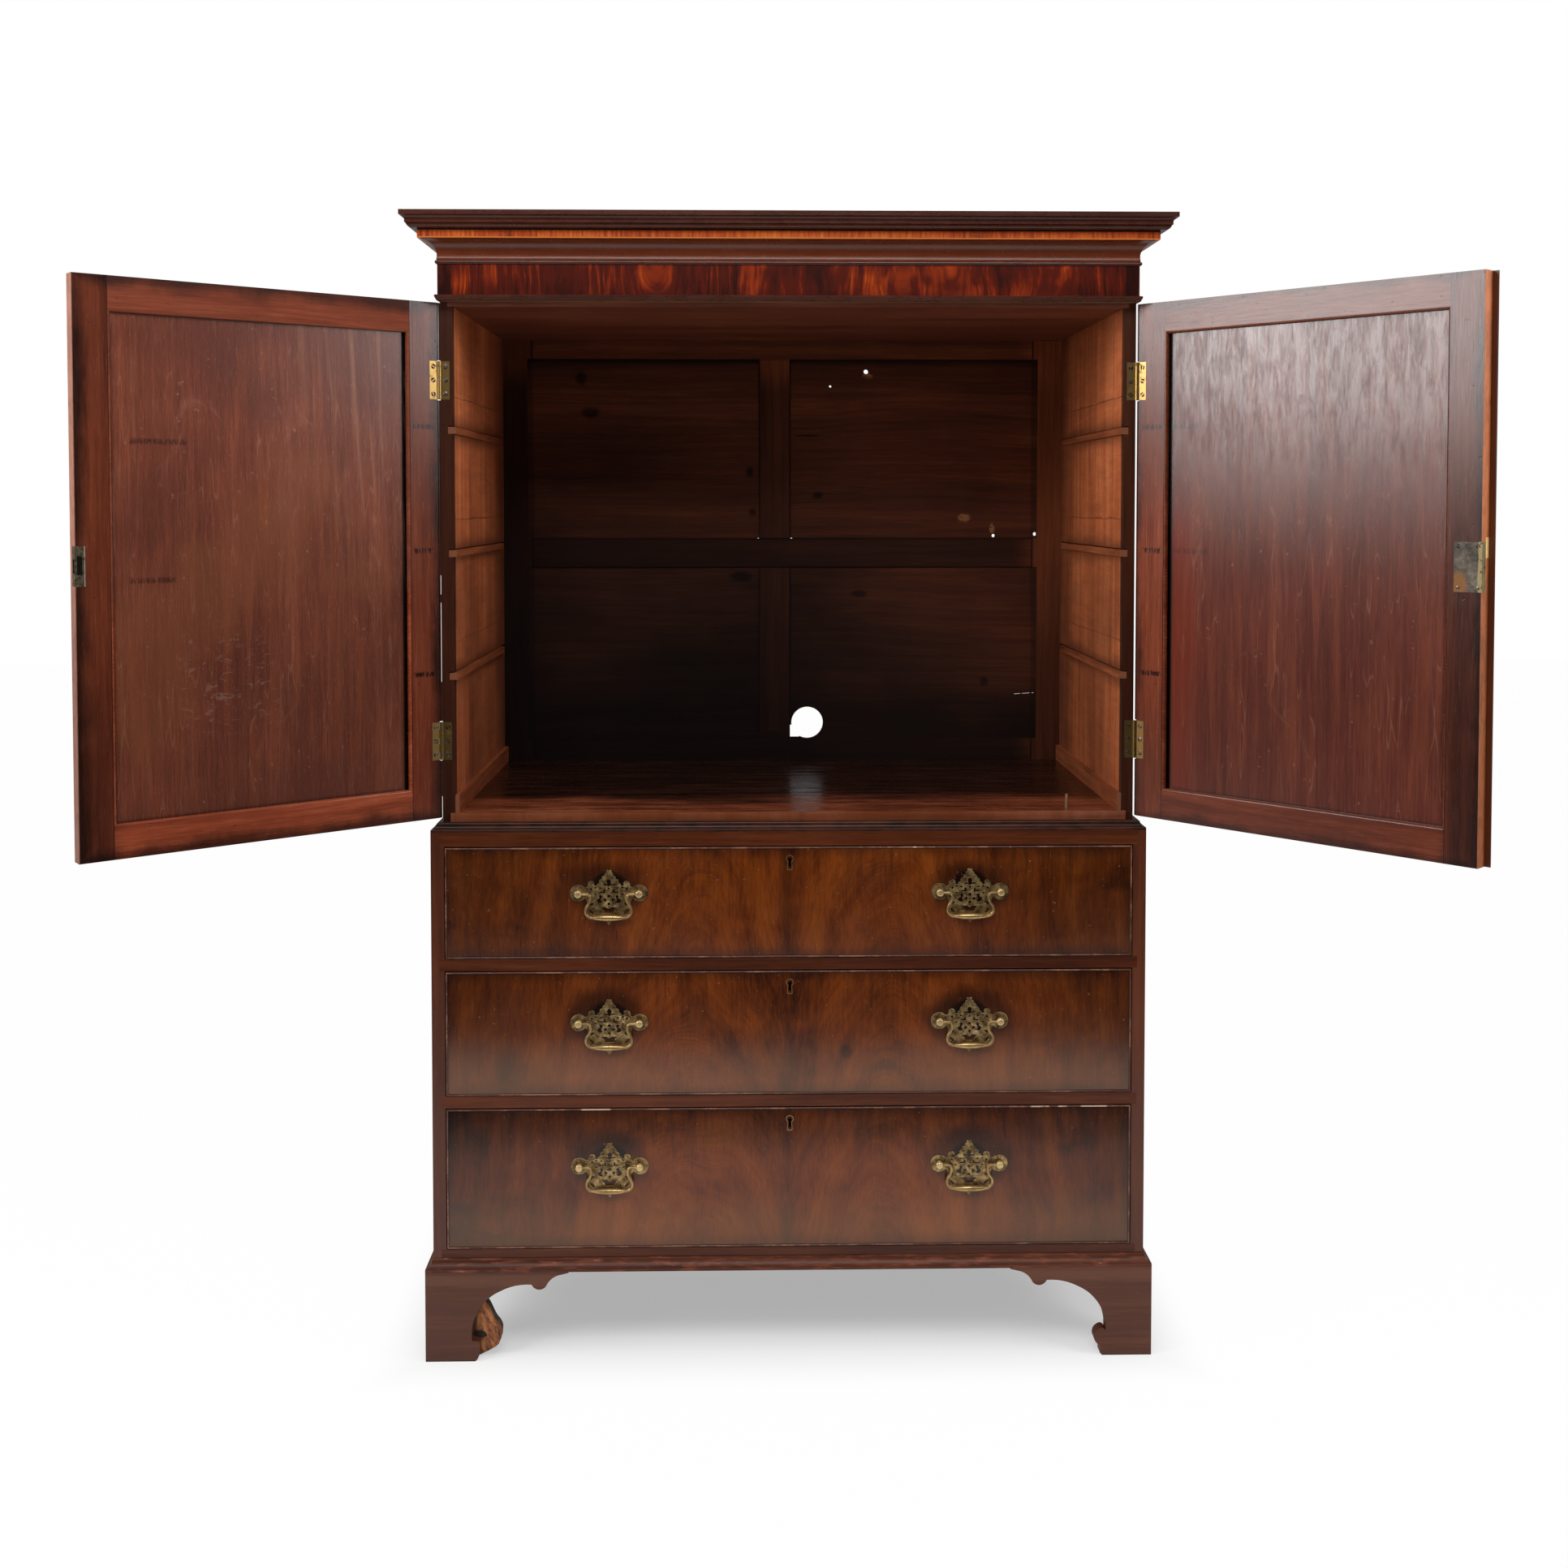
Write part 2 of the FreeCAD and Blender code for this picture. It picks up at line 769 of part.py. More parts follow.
def carcase_hinge_leaves():
    """The leaves let into the front edges of the cupboard sides."""
    leaves = []
    for foot in hinge_feet():
        leaf = hinge_leaf(foot, 0, upper_front, upper_front + hinge_leaf_thickness)
        leaves += both_sides(leaf)
    return leaves


def hinge_pins():
    """The four hinge pins."""
    pins = []
    for foot in hinge_feet():
        pins += both_sides(Part.makeCylinder(hinge_pin_radius, hinge_length, Vector(pin_x, pin_y, foot)))
    return pins


# ---------------------------------------------------------------- doors
def swung(shapes, side):
    """Turns closed right-hand door parts to their open place, on the right or left."""
    placed = []
    angle = right_door_open if side > 0 else left_door_open
    for shape in shapes:
        turned = shape.copy()
        turned.rotate(Vector(pin_x, pin_y, 0), Vector(0, 0, 1), angle)
        placed.append(turned if side > 0 else turned.mirror(Vector(0, 0, 0), Vector(1, 0, 0)))
    return placed


def door_panel():
    """The panel, held in grooves, with a dark quirk left beside the hinge stile."""
    low = door_meeting_edge + door_stile_width - door_panel_tongue
    high = door_hinge_edge - door_stile_width + door_panel_tongue
    back = door_back - door_panel_recess
    foot = door_foot + door_rail_width - door_panel_tongue
    head = door_head - door_rail_width + door_panel_tongue
    board = box(low, high, back - door_panel_thickness, back, foot, head)
    edge = high - door_panel_tongue - door_bead_width
    quirk = box(edge - door_quirk_width, edge, back - door_quirk_depth, back + 1.0, foot, head)
    return board, board.cut(quirk)


def door_frame(let_ins):
    """Stiles and tenoned rails of one door."""
    inner_low = door_meeting_edge + door_stile_width
    inner_high = door_hinge_edge - door_stile_width
    middle = (door_back + door_front) / 2
    tenon = (middle - door_tenon_thickness / 2, middle + door_tenon_thickness / 2)
    rails = []
    for foot in (door_foot, door_head - door_rail_width):
        head = foot + door_rail_width
        rail = box(inner_low, inner_high, door_front, door_back, foot, head)
        tongue = box(inner_low - door_tenon_length, inner_high + door_tenon_length, tenon[0], tenon[1],
                     foot + door_panel_tongue, head - door_panel_tongue)
        rails.append(joined([rail, tongue]))
    stiles = [
        box(door_meeting_edge, inner_low, door_front, door_back, door_foot, door_head),
        box(inner_high, door_hinge_edge, door_front, door_back, door_foot, door_head),
    ]
    panel = door_panel()[0]
    rails = [rail.cut(panel) for rail in rails]
    return [cut(stile, rails + [panel] + let_ins) for stile in stiles] + rails


def door_hinge_cuts():
    """What is cut out of a door's hinge stile for its leaves."""
    tools = []
    for foot in hinge_feet():
        tools.append(box(pin_x - hinge_leaf_width, pin_x, door_back - hinge_leaf_thickness,
                         door_back + 1.0, foot, foot + hinge_length))
        tools.append(Part.makeCylinder(hinge_knuckle_radius + close_gap, hinge_length + 2 * close_gap,
                                       Vector(pin_x, pin_y, foot - close_gap)))
    return tools


def door_hinge_leaves():
    """The leaves let into the back of a door."""
    return [hinge_leaf(foot, 1, door_back - hinge_leaf_thickness, door_back) for foot in hinge_feet()]


def door_beads():
    """The mitred beads that hold the panel, inside and outside."""
    x0 = door_meeting_edge + door_stile_width
    x1 = door_hinge_edge - door_stile_width
    z0 = door_foot + door_rail_width
    z1 = door_head - door_rail_width
    wide = door_bead_width
    back = door_back - door_panel_recess
    inside = [
        (0.0, back),
        (wide, back),
        (wide, back + door_panel_recess * 0.35),
        ((wide * 0.75, back + door_panel_recess * 0.8), (wide * 0.2, back + door_panel_recess - 0.4)),
        (0.0, back + door_panel_recess - 0.4),
    ]
    face = back - door_panel_thickness
    rise = face - door_front
    outside = [
        (0.0, face),
        (0.0, face - rise + 0.4),
        (wide * 0.2, face - rise + 0.4),
        ((wide * 0.75, face - rise * 0.8), (wide, face - rise * 0.35)),
        (wide, face),
    ]
    return ring(inside, x0, x1, z0, z1, (0.0, wide)) + ring(outside, x0, x1, z0, z1, (0.0, wide))


def door_lock_space():
    """The block of room that the door lock takes in the meeting stile."""
    width, height, depth = door_lock_size
    foot = door_foot + door_lock_height - height / 2
    return box(door_meeting_edge, door_meeting_edge + width, door_back - depth, door_back,
               foot, foot + height)


def door_bolt_block(grow, forward, back):
    """The bolt's own block, grown all round, reaching past its front and back ends."""
    middle = door_foot + door_lock_height
    y = door_back - door_lock_size[2] / 2
    return box(door_meeting_edge - forward, door_meeting_edge + bolt_length + back,
               y - bolt_thickness / 2 - grow, y + bolt_thickness / 2 + grow,
               middle - bolt_width / 2 - grow, middle + bolt_width / 2 + grow)


def keyhole_outline(x, z, radius, height, half_foot):
    """A round head with a flared slot below, seen from the front."""
    neck = radius * 0.55
    drop = math.sqrt(radius ** 2 - neck ** 2)
    centre = z + height / 2 - radius
    foot = z - height / 2
    return [
        (x - half_foot, foot),
        ((x, foot - half_foot * 0.25), (x + half_foot, foot)),
        (x + neck, centre - drop),
        ((x, centre + radius), (x - neck, centre - drop)),
    ]


def keyhole(x, z, y0, y1):
    """The hole that the key goes through."""
    outline = keyhole_outline(x, z, keyhole_radius, escutcheon_height * 0.62, keyhole_radius * 0.8)
    return slab(outline, from_front(y0), Vector(0, y1 - y0, 0))


def escutcheon(x, z, face):
    """A thin brass thread let in round a keyhole."""
    depth = Vector(0, escutcheon_depth, 0)
    flare = escutcheon_radius * 0.74
    outer = slab(keyhole_outline(x, z, escutcheon_radius, escutcheon_height, flare),
                 from_front(face), depth)
    wall = escutcheon_wall
    inner = slab(keyhole_outline(x, z, escutcheon_radius - wall, escutcheon_height - 2 * wall,
                                 flare - wall), from_front(face), depth)
    return outer.cut(inner)


def door_lock_parts():
    """The lock with its brass back plate, the bolt, the escutcheon and the holes they need."""
    middle = door_foot + door_lock_height
    key_x = door_meeting_edge + door_lock_size[0] * 0.62
    body = door_lock_space()
    channel = door_bolt_block(close_gap, 1.0, bolt_travel * 0.5)
    hole = keyhole(key_x, middle, door_front - 1.0, door_back - door_lock_size[2] * 0.55)
    thread = escutcheon(key_x, middle, door_front)
    lock = cut(body, [channel, hole])
    bolt = door_bolt_block(0.0, -0.5, -0.5)
    return lock, bolt, thread, [body, hole, thread]


def door_keep():
    """The strike plate wrapped round the meeting edge, and the mortise behind it."""
    width, height = keep_size
    foot = door_foot + door_lock_height - height / 2
    face = box(door_meeting_edge, door_meeting_edge + width, door_back - keep_plate, door_back,
               foot, foot + height)
    edge = box(door_meeting_edge, door_meeting_edge + keep_plate, door_back - door_lock_size[2] - 1.0,
               door_back, foot, foot + height)
    plate = joined([face, edge])
    mortise = door_bolt_block(1.0, 1.0, -bolt_length + bolt_travel + 2.0)
    return plate.cut(mortise), [plate, mortise]


def astragal():
    """The rounded bead on the front of the right door that covers the meeting gap."""
    low = door_meeting_edge - astragal_overlap
    high = low + astragal_width
    face = door_front
    out = astragal_thickness
    outline = [
        (low, face - close_gap),
        (door_meeting_edge, face - close_gap),
        (door_meeting_edge, face),
        (high, face),
        (high, face - out * 0.35),
        (high - 3.0, face - out * 0.35),
        (((low + high) / 2, face - out), (low + 3.0, face - out * 0.35)),
        (low, face - out * 0.35),
    ]
    return slab(outline, from_above(door_foot), Vector(0, 0, door_head - door_foot))


# ---------------------------------------------------------------- drawers
def tail_heights(foot, head):
    """The middle height of each dovetail on a drawer corner."""
    count = max(2, int(round((head - foot) / tail_pitch)))
    step = (head - foot) / count
    return [foot + step * (k + 0.5) for k in range(count)]


def tails(inner, outer, root_y, tip_y, foot, head):
    """Dovetails on the end of a drawer side, flared towards their tips."""
    shapes = []
    for middle in tail_heights(foot, head):
        low, wide = tail_root / 2, tail_root / 2 + tail_flare
        outline = [(root_y, middle - low), (tip_y, middle - wide), (tip_y, middle + wide),
                   (root_y, middle + low)]
        shapes.append(slab(outline, from_side(inner), Vector(outer - inner, 0, 0)))
    return shapes


def drawer_size(k):
    """Half width, foot and head of drawer k."""
    low, high = openings[k]
    return opening_half - drawer_side_play, low + drawer_foot_play, high - drawer_head_play


def lock_space(head):
    """The block of room that a drawer lock takes behind the drawer front."""
    return box(-lock_width / 2, lock_width / 2, lock_face, lock_face + lock_depth,
               head - lock_height, head)


def drawer_bolt(head, grow, up, down):
    """The bolt of a drawer lock, grown all round and reaching past its ends."""
    low = lock_face + bolt_setback
    return box(-bolt_width / 2 - grow, bolt_width / 2 + grow, low - grow, low + bolt_thickness + grow,
               head - bolt_length - down, head + up)


def drawer_parts(k):
    """Every fixed part of drawer k."""
    half, foot, head = drawer_size(k)
    run_foot = openings[k][0]
    bead = cock_bead_thickness
    front_back = front_y + drawer_front_thickness
    side_head = head - drawer_side_drop
    side_in = half - drawer_side_thickness
    back_end = front_y + drawer_length
    rear = back_end - drawer_side_thickness
    key_z = openings[k][1] - keyhole_drop
    hole = keyhole(0.0, key_z, front_y - 1.0, lock_face + lock_depth * 0.6)
    thread = escutcheon(0.0, key_z, front_y)

    front_tails = tails(side_in, half - bead, front_back, front_back - tail_length, foot + bead + 2,
                        side_head - 2)
    rear_tails = tails(side_in, half, rear, back_end, foot + 20.0, side_head - 8.0)
    side = box(side_in, half, front_back, rear, run_foot, side_head)
    side = joined([side] + front_tails + rear_tails)
    sides = both_sides(side)

    front = box(-half + bead, half - bead, front_y, front_back, foot + bead, head - bead)
    front = cut(front, sides + [lock_space(head), hole, thread] + pull_bores(k))
    rear_foot = run_foot + drawer_bottom_lift + drawer_bottom_thickness
    back = box(-half, half, rear, back_end, rear_foot, side_head - 6.0)
    back = cut(back, sides)
    floor = box(-side_in, side_in, front_back, back_end, run_foot + drawer_bottom_lift,
                rear_foot)

    lip = cock_bead_proud
    profile = [
        (0.0, front_back),
        (0.0, front_y - lip + bead / 2),
        ((bead / 2, front_y - lip), (bead, front_y - lip + bead / 2)),
        (bead, front_back),
    ]
    beads = ring(profile, -half, half, foot, head, (0.0, bead))
    beads = [bead_strip.cut(lock_space(head)) for bead_strip in beads]

    channel = drawer_bolt(head, close_gap, 1.0, close_gap)
    lock = cut(lock_space(head), [channel, hole])
    bolt = drawer_bolt(head, 0.0, -0.5, 0.0)
    return {
        "front": [front],
        "box": sides + [back, floor],
        "cock_bead": beads,
        "lock": [lock, thread],
        "bolt": [bolt],
    }


# ---------------------------------------------------------------- pulls
def pull_centres(k):
    """Where the middle of each pull of drawer k lies."""
    low, high = openings[k]
    z = low + (high - low) * pull_height
    return [(-pull_offset, z), (pull_offset, z)]


def pull_bores(k):
    """Holes in the drawer front for the shanks of the posts."""
    bores = []
    for x, z in pull_centres(k):
        for side in (-1, 1):
            bores.append(Part.makeCylinder(post_radius, drawer_front_thickness + 10.0,
                                           Vector(x + side * post_spacing / 2, front_y - 5.0, z),
                                           Vector(0, 1, 0)))
    return bores


def plate_outline():
    """The right half of a back plate, from its top finial down to its drop, for posts 102 apart."""
    ear = 51.0
    neck = ear_radius * 0.77
    rise = math.sqrt(ear_radius ** 2 - neck ** 2)
    finial = [(0.0, 37.4), ((2.4, 39.2), (4.4, 36.6)), (3.4, 34.2)]
    gable = [((7.2, 32.4), (6.6, 29.2)), ((11.2, 27.0), (11.0, 23.6)), ((15.8, 21.2), (15.8, 17.4)),
             (20.0, 15.0), (20.0, 12.4)]
    side_finial = [(25.6, 12.4), ((24.6, 17.2), (28.8, 20.2)), ((34.2, 17.4), (35.0, 11.6))]
    round_ear = [(ear - neck, rise), ((ear + ear_radius, 0.0), (ear - neck, -rise))]
    foot = [((36.2, -15.0), (37.8, -23.0)), ((36.0, -36.8), (24.0, -43.6)), ((14.0, -46.0), (5.6, -45.6)),
            ((3.4, -49.2), (0.0, -54.0))]
    return finial + gable + side_finial + round_ear + foot


def square(x, z, half):
    """A small square piercing."""
    return [(x - half, z - half), (x + half, z - half), (x + half, z + half), (x - half, z + half)]


def diamond(x, z, half):
    """A piercing standing on its corner."""
    return [(x, z - half), (x + half, z), (x, z + half), (x - half, z)]


def middle_piercings():
    """The cross in the gable, the lattice of four diamonds and the tulip below it."""
    cross = [(-1.9, 12.6), (-1.9, 11.0), (1.9, 11.0), (1.9, 12.6), (9.4, 12.6), (9.4, 15.4), (2.6, 15.4),
             ((3.8, 19.4), (0.0, 23.4)), ((-3.8, 19.4), (-2.6, 15.4)), (-9.4, 15.4), (-9.4, 12.6)]
    step, middle = 6.6, -11.7
    lattice = [diamond(x * step, middle + z * step, 3.3) for x, z in ((0, 1), (1, 0), (0, -1), (-1, 0))]
    tulip = [(-15.4, -24.6), (-5.0, -23.8), (0.0, -27.0), (5.0, -23.8), (15.4, -24.6),
             ((9.8, -28.0), (7.0, -33.6)), (-7.0, -33.6), ((-9.8, -28.0), (-15.4, -24.6))]
    return [cross, square(0.0, 7.6, 1.6)] + lattice + [tulip]


def side_piercings():
    """The piercings of the right half of a plate, repeated in mirror image on the left."""
    squares = [square(14.4, 8.4, 1.6), square(22.7, 9.4, 1.6), square(29.6, 6.4, 1.9),
               square(22.5, -2.2, 1.6)]
    angle = [(6.0, -0.2), (15.2, -0.2), (15.2, 2.6), (9.2, 2.6), (9.2, 6.4), (6.0, 6.4)]
    step = [(10.8, -5.6), (13.4, -3.0), (16.8, -4.8), (15.6, -8.4), (20.6, -11.6),
            ((19.0, -15.6), (15.2, -17.4)), (11.4, -15.8), (13.8, -11.7)]
    upper_slot = [(25.2, -16.6), ((30.2, -17.2), (33.6, -20.8)), ((28.8, -21.4), (25.2, -16.6))]
    lower_slot = [(33.4, -27.4), ((31.6, -33.4), (25.2, -36.2)), ((27.2, -30.2), (33.4, -27.4))]
    return squares + [angle, step, upper_slot, lower_slot]


def on_plate(outline, x, z, sign):
    """A plate's outline at the size of its pull; a sign of -1 gives its mirror image."""
    unit = post_spacing / 102.0

    def put(point):
        return (x + sign * point[0], z + point[1])

    sized = scaled(outline, unit, unit)
    return [tuple(put(p) for p in step) if isinstance(step[0], tuple) else put(step) for step in sized]


def pull_plate(x, z):
    """One pierced back plate."""
    face = front_y - plate_thickness
    thick = Vector(0, plate_thickness, 0)
    halves = [slab(on_plate(plate_outline(), x, z, sign), from_front(face), thick)
              for sign in (-1, 1)]
    outlines = [on_plate(hole, x, z, 1) for hole in middle_piercings()]
    outlines += [on_plate(hole, x, z, sign) for hole in side_piercings() for sign in (-1, 1)]
    holes = [slab(outline, from_front(face - plate_thickness), thick * 3) for outline in outlines]
    for side in (-1, 1):
        holes.append(Part.makeCylinder(post_radius, plate_thickness * 3,
                                       Vector(x + side * post_spacing / 2, face - plate_thickness, z),
                                       Vector(0, 1, 0)))
    return cut(joined(halves), holes)


def pull_post(x, z, side):
    """A post with a round head, bored on its inner side for the end of the bail."""
    px = x + side * post_spacing / 2
    axis_y = front_y - plate_thickness - bail_standoff
    back = front_y + drawer_front_thickness
    shank = Part.makeCylinder(post_radius, back - axis_y, Vector(px, axis_y, z), Vector(0, 1, 0))
    head = Part.makeCylinder(post_head_radius, post_head_depth,
                             Vector(px, axis_y - post_head_depth / 2, z), Vector(0, 1, 0))
    front_edge = [edge for edge in head.Edges if abs(edge.BoundBox.YMax - head.BoundBox.YMin) < 1e-3]
    head = head.makeFillet(post_head_depth * 0.35, front_edge)
    nut = Part.makeCylinder(post_radius * 2.0, 3.0, Vector(px, back, z), Vector(0, 1, 0))
    bore = Part.makeCylinder(bail_pin_radius + pin_fit, post_head_radius + 1.0, Vector(px, axis_y, z),
                             Vector(-side, 0, 0))
    return joined([shank, head, nut]).cut(bore)


def bail(x, z):
    """A swan-necked bail hanging from two posts, with a swelling grip."""
    axis_y = front_y - plate_thickness - bail_standoff
    start = post_spacing / 2 - post_head_radius - close_gap
    throat, swell, sweep = 6.0, 22.0, math.radians(40.0)
    heel = 12.0
    bend_x = start - 8.0
    in_x = bend_x - throat
    out_x = in_x + swell - swell * math.cos(sweep)
    out_z = -throat - swell * math.sin(sweep)
    heel_x = out_x - heel * math.cos(sweep)
    heel_z = out_z - heel * math.sin(sweep)
    half_way = sweep / 2
    put = lambda u, v: Vector(x + u, axis_y, z + v)
    turn = math.radians(45.0)
    edges = [
        Part.makeLine(put(start, 0), put(bend_x, 0)),
        Part.Arc(put(bend_x, 0), put(bend_x - throat * math.sin(turn), -throat * (1 - math.cos(turn))),
                 put(in_x, -throat)).toShape(),
        Part.Arc(put(in_x, -throat), put(in_x + swell - swell * math.cos(half_way),
                                         -throat - swell * math.sin(half_way)), put(out_x, out_z)).toShape(),
        Part.Arc(put(out_x, out_z), put(heel_x + heel * math.cos(-math.radians(25.0)),
                                        heel_z - heel * math.sin(math.radians(25.0))),
                 put(heel_x, heel_z - heel)).toShape(),
    ]
    ring_ = Part.Wire([Part.makeCircle(bail_radius, put(start, 0), Vector(-1, 0, 0))])
    arm = Part.Wire(edges).makePipeShell([ring_], True, False)
    grip_z = heel_z - heel
    spindle = Part.Face(Part.Wire([
        Part.makeLine(put(-heel_x, grip_z), put(-heel_x, grip_z + bail_radius)),
        Part.Arc(put(-heel_x, grip_z + bail_radius), put(0, grip_z + grip_radius),
                 put(heel_x, grip_z + bail_radius)).toShape(),
        Part.makeLine(put(heel_x, grip_z + bail_radius), put(heel_x, grip_z)),
        Part.makeLine(put(heel_x, grip_z), put(-heel_x, grip_z)),
    ])).revolve(put(0, grip_z), Vector(1, 0, 0), 360.0)
    pin = Part.makeCylinder(bail_pin_radius, post_head_radius * 0.75, put(start - 1.0, 0), Vector(1, 0, 0))
    half = joined([arm, pin])
    other = half.mirror(put(0, 0), Vector(1, 0, 0))
    return joined([half, spindle, other])


# ---------------------------------------------------------------- the press
save("lower_sides", lower_sides())
save("lower_boards", [bottom_board, top_board])
save("drawer_rails", drawer_rails)
save("drawer_runners", drawer_runners())
save("dust_boards", dust_boards())
save("lower_back_boards", lower_back_boards())
save("waist_moulding", waist_moulding())
save("base_moulding", base_moulding())
save("front_feet", front_feet())
save("rear_feet", rear_feet())
save("foot_blocks", foot_blocks())

save("upper_sides", upper_sides())
save("cupboard_boards", [cupboard_floor, cupboard_top])
save("back_frame", back_frame())
save("back_panels", back_panels())
save("tray_runners", tray_runners())
save("frieze", frieze())
save("cornice_beads", cornice_beads())
save("cornice_cove", cornice_cove())
save("cornice_band", cornice_band())
save("cornice_crown", cornice_crown())
save("cornice_frame", cornice_frame())
save("carcase_hinge_leaves", carcase_hinge_leaves())
save("hinge_pins", hinge_pins())

keep, keep_cuts = door_keep()
lock, lock_bolt, lock_thread, lock_cuts = door_lock_parts()
for side, name, let_ins in ((-1, "left_door", keep_cuts), (1, "right_door", lock_cuts)):
    save(name + "_frame", swung(door_frame(door_hinge_cuts() + let_ins), side))
    save(name + "_panel", swung([door_panel()[1]], side))
    save(name + "_beads", swung(door_beads(), side))
    save(name + "_hinge_leaves", swung(door_hinge_leaves(), side))
save("left_door_keep", swung([keep], -1))
save("right_door_lock", swung([lock, lock_thread], 1))
save("right_door_bolt", swung([lock_bolt], 1))
save("right_door_astragal", swung([astragal()], 1))

for k, drawer in enumerate(drawer_names):
    for piece, shapes in drawer_parts(k).items():
        save(drawer + "_" + piece, shapes)
    centres = pull_centres(k)
    plates = [pull_plate(x, z) for x, z in centres]
    posts = [pull_post(x, z, side) for x, z in centres for side in (-1, 1)]
    save(drawer + "_pull_plates", plates + posts)
    save(drawer + "_left_bail", [bail(*centres[0])])
    save(drawer + "_right_bail", [bail(*centres[1])])
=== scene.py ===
"""Looks of a mahogany linen press: finishes, small fittings, floor, lamps and camera."""

import math

import bmesh
import bpy
from mathutils import Matrix, Vector


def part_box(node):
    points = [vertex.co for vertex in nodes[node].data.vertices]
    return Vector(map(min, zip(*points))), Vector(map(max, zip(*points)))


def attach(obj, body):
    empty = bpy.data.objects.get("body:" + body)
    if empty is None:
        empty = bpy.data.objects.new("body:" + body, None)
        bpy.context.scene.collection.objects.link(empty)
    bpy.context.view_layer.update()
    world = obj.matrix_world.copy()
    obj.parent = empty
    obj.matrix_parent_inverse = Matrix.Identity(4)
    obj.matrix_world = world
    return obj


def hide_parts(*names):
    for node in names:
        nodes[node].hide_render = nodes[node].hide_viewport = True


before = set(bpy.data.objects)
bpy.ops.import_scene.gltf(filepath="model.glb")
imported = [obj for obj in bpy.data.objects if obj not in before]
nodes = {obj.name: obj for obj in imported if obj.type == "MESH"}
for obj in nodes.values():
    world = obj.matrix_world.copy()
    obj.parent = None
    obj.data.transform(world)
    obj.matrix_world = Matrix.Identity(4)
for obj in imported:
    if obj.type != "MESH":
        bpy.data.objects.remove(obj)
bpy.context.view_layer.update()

# ---------------------------------------------------------------- places and sizes, in metres

CHEST_CORNER = (0.600, 0.300)
CUPBOARD_CORNER = (0.582, 0.300)
HINGE_LINE = {"left": (-0.584, -0.2775, 0.0), "right": (0.584, -0.2775, 0.0)}
DOOR_OPENED = {"left": math.radians(-142.5), "right": math.radians(133.3)}
HINGE_FEET = (1.6145, 1.011)
HINGE_LENGTH, HINGE_GAP = 0.0635, 0.0015
SCREW_LINE, SCREW_RISES = 0.5735, (0.0090, 0.03175, 0.0545)
CASE_LEAF, DOOR_LEAF, LOCK_FACE = -0.27708, -0.27792, -0.27795
LOCK_SCREWS = (0.0065, 1.3190), (0.0355, 1.3190), (0.0065, 1.3790), (0.0355, 1.3790)
PEG = (0.4748, -0.2485)

DOOR_HEIGHTS = (0.9132, 1.7748)
EDGING_LINE, FREE_EDGE = 0.5829, 0.5815
RAIL_START, RAIL_END = 0.053, 0.533          # how far the ends of a door's rails are from its hinge line
DOOR_INSIDE, DOOR_OUTSIDE = -0.012, -0.0228  # depths near a door's two faces
TRAY_HEIGHTS = (1.157, 1.363, 1.569)
# where the trays have rubbed each panel: start, end, height
PANEL_MARKS = {"left": ((0.42, 0.50, 1.534), (0.44, 0.50, 1.326)),
               "right": ((0.07, 0.11, 1.569), (0.07, 0.13, 1.363))}
# heights between which the bead behind the left door is thinner and lets light through
LIGHT_GAPS = (0.9130, 0.9480), (1.1430, 1.2740), (1.2900, 1.3200)

# framing of the cupboard's back, and the side of it that faces the wall
MIDDLE_RAIL, RAIL_HALF = 1.342, 0.029
MUNTIN, MUNTIN_HALF = -0.017, 0.031
STILE_EDGE, TOP_RAIL, FOOT_RAIL = 0.504, 1.729, 0.979
WALL_SIDE = 0.2930

# height of each drawer's pulls, and how far below the drawer its flame starts
DRAWERS = {"top_drawer": (0.7895, 0.10), "middle_drawer": (0.5705, 0.13),
           "bottom_drawer": (0.3266, 0.10)}
PULL_REACH = 0.303                           # from the middle of a drawer to the middle of a pull
PLATE_FRONT = -0.3016
# stretches of cock bead painted pale, as highlight and bare wear: start, end, height
BEAD_HIGHLIGHTS_AND_WEAR = ((0.405, 0.440, 0.4251), (0.452, 0.470, 0.4251), (0.490, 0.538, 0.4250),
             (-0.352, -0.300, 0.4251), (0.205, 0.214, 0.8690), (0.367, 0.374, 0.8682))
# knots and torn spots of the back boards: middle and half size
KNOTS = (((-0.4061, 1.6930), (0.012, 0.016)), ((-0.3871, 1.6233), (0.020, 0.012)),
         ((-0.0672, 1.5050), (0.008, 0.010)), ((-0.0618, 1.4240), (0.008, 0.008)),
         ((0.0702, 1.4586), (0.011, 0.008)), ((0.1529, 1.2591), (0.016, 0.008)),
         ((0.4083, 1.0811), (0.009, 0.011)), ((0.0485, 1.5784), (0.030, 0.0022)),
         ((-0.0850, 1.2940), (0.026, 0.010)))
TORN = (((0.3666, 1.4131), (0.016, 0.010)), ((0.4233, 1.3914), (0.007, 0.013)),
        ((0.1706, 1.6990), (0.012, 0.008)))
# nail holes: place and radius
HOLES = ((0.1672, 1.7073, 0.0046), (0.0952, 1.6778, 0.0024), (0.4263, 1.3766, 0.0034),
         (0.5105, 1.3799, 0.0038), (-0.0500, 1.3705, 0.0016), (0.0165, 1.3705, 0.0020))
# outline of the broken spur, and the plane of its face
SPUR_FACE = -0.2960
SPUR = ((-0.5515, 0.0035), (-0.5230, 0.0035), (-0.5160, 0.0068), (-0.5049, 0.0124), (-0.4975, 0.0165),
        (-0.4920, 0.0213), (-0.4881, 0.0303), (-0.4869, 0.0440), (-0.4885, 0.0500), (-0.4914, 0.0553),
        (-0.4955, 0.0605), (-0.4990, 0.0655), (-0.5030, 0.0742), (-0.5066, 0.0826), (-0.5092, 0.0872),
        (-0.5118, 0.0913), (-0.5150, 0.0950), (-0.5515, 0.0950))

# ---------------------------------------------------------------- colours: dark, fair and light wood

